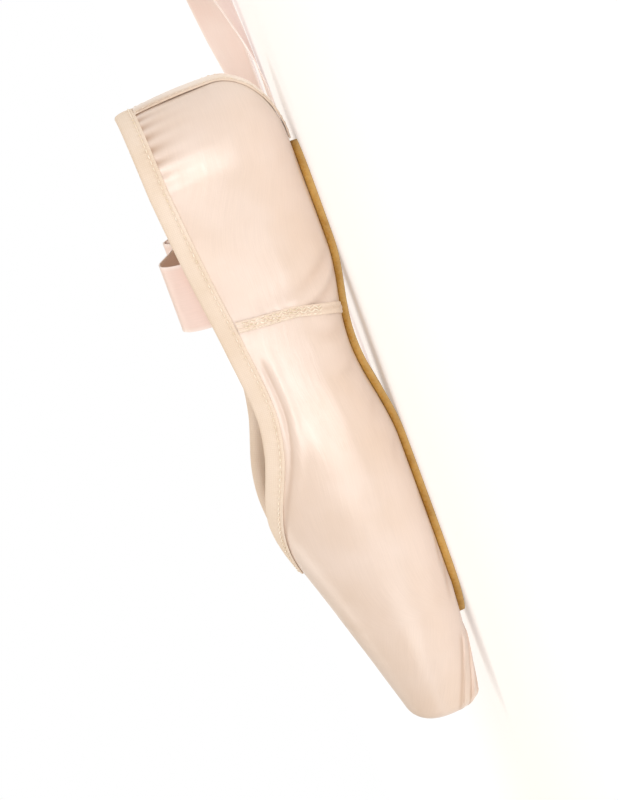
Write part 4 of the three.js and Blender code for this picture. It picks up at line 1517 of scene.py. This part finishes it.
@dataclass
class Insole:
    """Board under the foot, covered in drill, upturned along its edge."""

    last: Last
    drill: bpy.types.Material
    gap: float = 0.5
    thick: float = 1.4
    beyond_flat: float = 1.2
    bevel: float = 3.0
    toe: float = 208.0
    toe_round: float = 22.0
    columns: int = 41
    edge_darkening: float = 0.3
    dish: float = 0.35
    grain: float = 0.04

    def outline(self, grow: float) -> Array:
        """Left half of the outline in plan, from the heel to the toe."""
        last = self.last
        station = last.station(np.linspace(-last.fan, 0, 40)[:-1])
        r = station["flat"] + grow
        heel = np.stack([station["axis"] + station["ds"] * r, station["dy"] * r], axis=-1)
        toe = self.toe + grow - self.beyond_flat
        s = last.heel_axis_s + (toe - last.heel_axis_s) * np.sin(np.linspace(0, math.pi / 2, 150))
        t = np.maximum(0.0, s - toe + self.toe_round) / self.toe_round
        half = (column(last.sections, "flat", s) + grow) * np.sqrt(np.maximum(0.0, 1 - t * t))
        return np.concatenate([heel, np.stack([s, half], axis=-1)])

    def skin(self, outline: Array, z: float, dish: float) -> Array:
        """Face across the board at a height, dished towards its middle."""
        across = np.linspace(-1, 1, self.columns)
        s = np.broadcast_to(outline[:, :1], (len(outline), self.columns))
        y = outline[:, 1:] * across
        drop = dish * (1 - across**2) * ease(outline[:, 1:] / 12)
        grain = self.grain * np.sin(s / 3.7) * np.sin(y / 2.9)
        return np.stack([s - self.last.origin_s, y, z + self.last.ground(s) - drop + grain], axis=-1)

    def build(self) -> Piece:
        """Builds the board from its two faces and the bevel between them."""
        piece = Piece("insole_drill")
        low = self.last.bottom + self.last.wall + self.gap
        lower = self.skin(self.outline(self.beyond_flat), low, 0.0)
        upper = self.skin(self.outline(self.beyond_flat + self.bevel), low + self.thick, self.dish)
        edge = ease((np.abs(np.linspace(-1, 1, self.columns)) - 0.8) / 0.2)
        # The board is darker along its edge and bevel.
        dark = self.edge_darkening * edge[None] * np.ones((len(upper), 1))
        piece.grid(upper, mark=dark)
        piece.grid(lower, flip=True)
        for k in (0, -1):
            piece.grid(np.stack([lower[:, k], upper[:, k]], axis=1), flip=k == 0, mark=self.edge_darkening)
        return piece

    def dress(self) -> None:
        """Builds and dresses the board."""
        dress(self.build(), "insole_board", [self.drill], "insole")


@dataclass
class Ribbon:
    """Satin ribbon sewn inside the wall, over the right side's collar and along the floor."""

    last: Last
    side: Side
    satin: bpy.types.Material
    width: float = 24.0
    thick: float = 0.5
    s: float = 65.0
    sewn: float = 22.0
    gap: float = 1.0
    steps: int = 56
    finer: int = 6
    columns: int = 17
    tape_thick: float = 0.7
    lean_rate: float = 1.1
    lean_after: dict[Side, tuple[int, int]] = field(
        default_factory=lambda: {Side.LEFT: (0, 6), Side.RIGHT: (8, 14)}
    )
    floor_level: float = 3.0
    slack: tuple[float, float, float] = (70.0, 30.0, 12.0)
    ripple: float = 0.18
    ripple_length: float = 11.0
    woven_edge: tuple[float, float] = (0.9, 0.06)
    middle_thin: float = 0.72
    floor_rows: dict[Side, tuple[tuple[float, float], ...]] = field(
        default_factory=lambda: {
            Side.RIGHT: (
                (65, -43), (65, -52), (61, -66), (49, -78), (32, -84), (13, -87), (-7, -96), (-17, -113),
                (-12, -131), (4, -143), (25, -147), (48, -143), (72, -137), (97, -136), (122, -141),
                (151, -149),
            ),
            Side.LEFT: (
                (65, -45), (65.5, -55), (71, -69), (84, -79), (102, -83), (122, -81), (142, -75), (163, -71),
                (185, -73), (206, -81), (221, -95), (227, -112), (221, -129), (208, -140), (191, -146),
            ),
        }
    )

    def route(self) -> Array:
        """Points that the ribbon's middle passes, from its sewn end."""
        last = self.last
        u = np.array(self.s - last.heel_axis_s)
        rim = last.point(u, last.collar_level(u))
        inset = last.wall + 2 * last.clearance + self.tape_thick + self.thick / 2 + 0.3
        depths = [last.level_below_collar(u, self.sewn * share) for share in (1, 0.6, 0.25)]
        sewn = np.array([last.point(u, depth, inset) for depth in depths])
        layer = self.thick + self.gap if self.side is Side.LEFT else 0.0
        x, y, z = rim
        hang = (
            (-3.4 - layer, 2.6 + layer), (0, 3.8 + layer), (3.4 + layer, 1.8 + layer / 2), (5 + layer, -6),
            (5.8 + layer, -16), (6.2 + layer, -28), (6.8 + layer, -38),
        )
        down = np.array([(x, -y - out, z + up) for out, up in hang])
        rest = self.thick / 2 + last.clearance + layer
        floor = np.array([(s - last.origin_s, fy, rest) for s, fy in self.floor_rows[self.side]])
        if self.side is Side.RIGHT:
            start = np.concatenate([flipped(sewn), [[x, -y + 5.2, z + 0.4]]])
            return np.concatenate([start, down, [[x, -37.6, 3.6]], floor])
        arch = ((y - 5.4, 1), (y - 9, 6.5), (y - 17, 9.5), (y - 28, 6.5), (y - 40, 2.6), (-y + 8, 3))
        over = np.array([(x, ay, z + up) for ay, up in arch])
        return np.concatenate([sewn, over, down, [[x, -38.8, 4.6]], floor])

    @staticmethod
    def smooth_curve(knots: Array, per_span: int = 40) -> Array:
        """Smooth line through knots, with spans timed by the square root of their length."""
        first, final = 2 * knots[0] - knots[1], 2 * knots[-1] - knots[-2]
        padded = np.concatenate([[first], knots, [final]])
        pieces = []
        for p0, p1, p2, p3 in zip(padded, padded[1:], padded[2:], padded[3:]):
            d0, d1, d2 = (np.linalg.norm(b - a) ** 0.5 for a, b in ((p0, p1), (p1, p2), (p2, p3)))
            t1 = ((p1 - p0) / d0 - (p2 - p0) / (d0 + d1) + (p2 - p1) / d1) * d1
            t2 = ((p2 - p1) / d1 - (p3 - p1) / (d1 + d2) + (p3 - p2) / d2) * d1
            t = np.linspace(0, 1, per_span, endpoint=False)[:, None]
            bend = (2 * t**3 - 3 * t**2 + 1) * p1 + (t**3 - 2 * t**2 + t) * t1
            pieces.append(bend + (3 * t**2 - 2 * t**3) * p2 + (t**3 - t**2) * t2)
        return np.concatenate([*pieces, knots[-1:]])

    def frames(self) -> tuple[Array, Array, Array, float]:
        """Middle line, directions across and off the ribbon, and its length."""
        curve = self.smooth_curve(self.route())
        length = run_lengths(curve)[-1]
        steps = self.steps
        centres = at_lengths(curve, np.linspace(0, length, steps + 1))
        tangents = unit(np.gradient(centres, axis=0))
        index = np.arange(steps + 1)
        on_floor = (centres[:, 2] < self.floor_level) & (index > steps / 6)
        before, after = tangents[np.maximum(0, index - 2)], tangents[np.minimum(steps, index + 2)]
        turning = np.where(on_floor, before[:, 0] * after[:, 1] - before[:, 1] * after[:, 0], 0.0)
        padded = np.concatenate([turning[:1], turning[:1], turning, turning[-1:], turning[-1:]])
        mean = np.convolve(padded, np.ones(5) / 5, mode="valid")
        wait, over = self.lean_after[self.side]
        bank = np.arctan(mean * self.lean_rate) * ease((index - on_floor.argmax() - wait) / over)
        up = np.array([0.0, 0.0, 1.0])
        flat = unit(np.cross(up, tangents))
        leaning = flat * np.cos(bank)[:, None] - up * np.sin(bank)[:, None]
        across = np.where(on_floor[:, None], leaning, np.array([1.0, 0.0, 0.0]))
        lift = np.where(on_floor, np.abs(np.sin(bank)) * self.width / 2, 0.0)
        centres = centres + up * lift[:, None]
        fine = np.linspace(0, steps, steps * self.finer + 1)
        middle, sideways = (
            np.stack([along(index.astype(float), part[:, k], fine) for k in range(3)], -1)
            for part in (centres, across)
        )
        sideways = unit(sideways)
        normal = unit(np.cross(unit(np.gradient(middle, axis=0)), sideways))
        return middle, sideways, normal, length

    def build(self) -> tuple[Piece, float]:
        """Builds the ribbon with a soft cup, faint ripples and thicker woven edges."""
        piece = Piece(f"ribbon_satin_{self.side.name.lower()}")
        middle, sideways, normal, length = self.frames()
        share = np.linspace(-1, 1, self.columns)
        run = run_lengths(middle)[:, None]
        held, over, end = self.slack
        loose = ease((run - held) / over) * ease((length - run) / end)
        ripple = self.ripple * np.sin(run / self.ripple_length + 2 * share) * np.abs(share) * loose
        edge = ease((np.abs(share) - self.woven_edge[0]) / self.woven_edge[1])
        half_thick = self.thick / 2 * (self.middle_thin + (1 - self.middle_thin) * edge)
        flat = middle[:, None] + sideways[:, None] * (share * self.width / 2)[None, :, None]
        over = flat + normal[:, None] * (ripple + half_thick)[..., None]
        under = flat + normal[:, None] * (ripple - half_thick)[..., None]
        lowest = self.last.clearance * 0.5
        for face in (over, under):
            face[..., 2] = np.maximum(face[..., 2], lowest)
        mark = np.broadcast_to(edge, ripple.shape)
        piece.slab(over, under, mark=mark, under_mark=mark)
        return piece, length

    def dress(self) -> None:
        piece, length = self.build()
        ribbon = dress(piece, "ribbon_satin", [self.satin], f"ribbon_{self.side.name.lower()}")
        LOG.info("%s: %.1f mm long", ribbon.name, length)


@dataclass
class Lamp:
    """Soft rectangular light aimed at the shoe."""

    name: str
    place: tuple[float, float, float]
    size: tuple[float, float]
    power: float
    tone: str = "ffffff"

    def hang(self, target: Vector) -> None:
        """Adds the light, in metres, looking at the target."""
        data = bpy.data.lights.new(self.name, "AREA")
        data.shape = "RECTANGLE"
        data.size, data.size_y = self.size
        data.energy = self.power
        data.color = linear(self.tone)[:3]
        lamp = bpy.data.objects.new(self.name, data)
        lamp.location = self.place
        lamp.rotation_euler = (target - Vector(self.place)).to_track_quat("-Z", "Y").to_euler()
        bpy.context.scene.collection.objects.link(lamp)


@dataclass
class Studio:
    """Pale floor, soft lights and the camera at the photograph's angle to the shoe, held on its side."""

    azimuth: float = 193.0
    elevation: float = 1.25
    roll: float = -110.4
    distance: float = 1.5
    view_height: float = 0.279
    target: tuple[float, float, float] = (0.0, 0.0, 0.027)
    sensor: float = 36.0
    floor_radius: float = 7.0
    horizon_band: tuple[float, float] = (0.1, 0.3)
    horizon_tone: str = "ffffff"
    sky_tone: str = "d0c8be"
    lamps: tuple[Lamp, ...] = (
        Lamp("key", (-0.45, 1.65, 0.26), (1.0, 0.35), 7.6, "fdf8f8"),
        Lamp("fill", (1.2, 1.2, 0.4), (0.6, 0.5), 2.5, "ffffff"),
        Lamp("overhead", (-0.3, -0.2, 1.7), (0.7, 0.55), 4.5, "fff6ea"),
        Lamp("far_side", (0.5, -0.9, 1.4), (0.9, 0.7), 2.5, "fff8f0"),
    )

    def camera(self) -> None:
        """Adds the camera."""
        az, el, roll = (math.radians(a) for a in (self.azimuth, self.elevation, self.roll))
        back = Vector((math.sin(az) * math.cos(el), -math.cos(az) * math.cos(el), math.sin(el)))
        right = Vector((0, 0, 1)).cross(back).normalized()
        up = back.cross(right)
        turned_right = right * math.cos(roll) + up * math.sin(roll)
        turned_up = up * math.cos(roll) - right * math.sin(roll)
        data = bpy.data.cameras.new("camera")
        data.sensor_width = self.sensor
        data.lens = self.sensor * self.distance / self.view_height
        data.clip_end = 50.0
        camera = bpy.data.objects.new("camera", data)
        turn = Matrix((turned_right, turned_up, back)).transposed().to_4x4()
        camera.matrix_world = Matrix.Translation(Vector(self.target) + back * self.distance) @ turn
        bpy.context.scene.collection.objects.link(camera)
        bpy.context.scene.camera = camera

    def floor(self) -> None:
        """Adds the round floor."""
        mesh = bpy.data.meshes.new("studio_floor")
        disc = bmesh.new()
        bmesh.ops.create_circle(disc, cap_ends=True, segments=96, radius=self.floor_radius)
        disc.to_mesh(mesh)
        disc.free()
        floor = bpy.data.objects.new("studio_floor", mesh)
        mesh.materials.append(Paper().material())
        bpy.context.scene.collection.objects.link(floor)

    def surroundings(self) -> bpy.types.World:
        """Makes the pale surroundings: white at eye level, and softer and warmer overhead."""
        world = bpy.data.worlds.new("studio")
        world.use_nodes = True
        tree = world.node_tree
        places = tree.nodes.new("ShaderNodeTexCoord").outputs["Generated"]
        split = tree.nodes.new("ShaderNodeSeparateXYZ")
        tree.links.new(places, split.inputs[0])
        ramp = tree.nodes.new("ShaderNodeValToRGB")
        tree.links.new(split.outputs["Z"], ramp.inputs[0])
        ramp.color_ramp.interpolation = "EASE"
        low, high = ramp.color_ramp.elements
        low.position, low.color = self.horizon_band[0], linear(self.horizon_tone)
        high.position, high.color = self.horizon_band[1], linear(self.sky_tone)
        tree.links.new(ramp.outputs["Color"], tree.nodes["Background"].inputs["Color"])
        return world

    def light(self) -> None:
        """Adds the lamps and the pale surroundings."""
        for lamp in self.lamps:
            lamp.hang(Vector(self.target))
        scene = bpy.context.scene
        scene.world = self.surroundings()
        scene.view_settings.view_transform = "Standard"
        scene.view_settings.look = "None"

    def build(self) -> None:
        """Builds the whole studio."""
        self.camera()
        self.floor()
        self.light()


def main() -> None:
    """Builds the studio and every piece of the shoe, and reports them."""
    logging.basicConfig(level=logging.INFO, format="%(name)s %(message)s")
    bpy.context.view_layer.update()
    Studio().build()
    last = Last()
    satin = Satin().material()
    strip = Satin(name="strip_satin", light="eedccb", deep="e6d0b9").material()
    ribbon = Satin(
        name="pink_satin", light="f6e0d8", deep="f1d1c5", marking="fbeee8", roughness=0.32, sheen=0.3
    ).material()
    tape, leather, drill, thread = (kind().material() for kind in (Tape, Leather, Drill, Thread))
    Upper(last, satin, drill).dress()
    binding = CollarBinding(last, tape, thread)
    binding.dress()
    BackStrip(last, strip, thread, binding).dress()
    for side in Side:
        SideStrip(last, side, strip, thread, binding).dress()
    Outsole(last, leather, thread).dress()
    Insole(last, drill).dress()
    for side in Side:
        Ribbon(last, side, ribbon).dress()


if __name__ == "__main__":
    main()
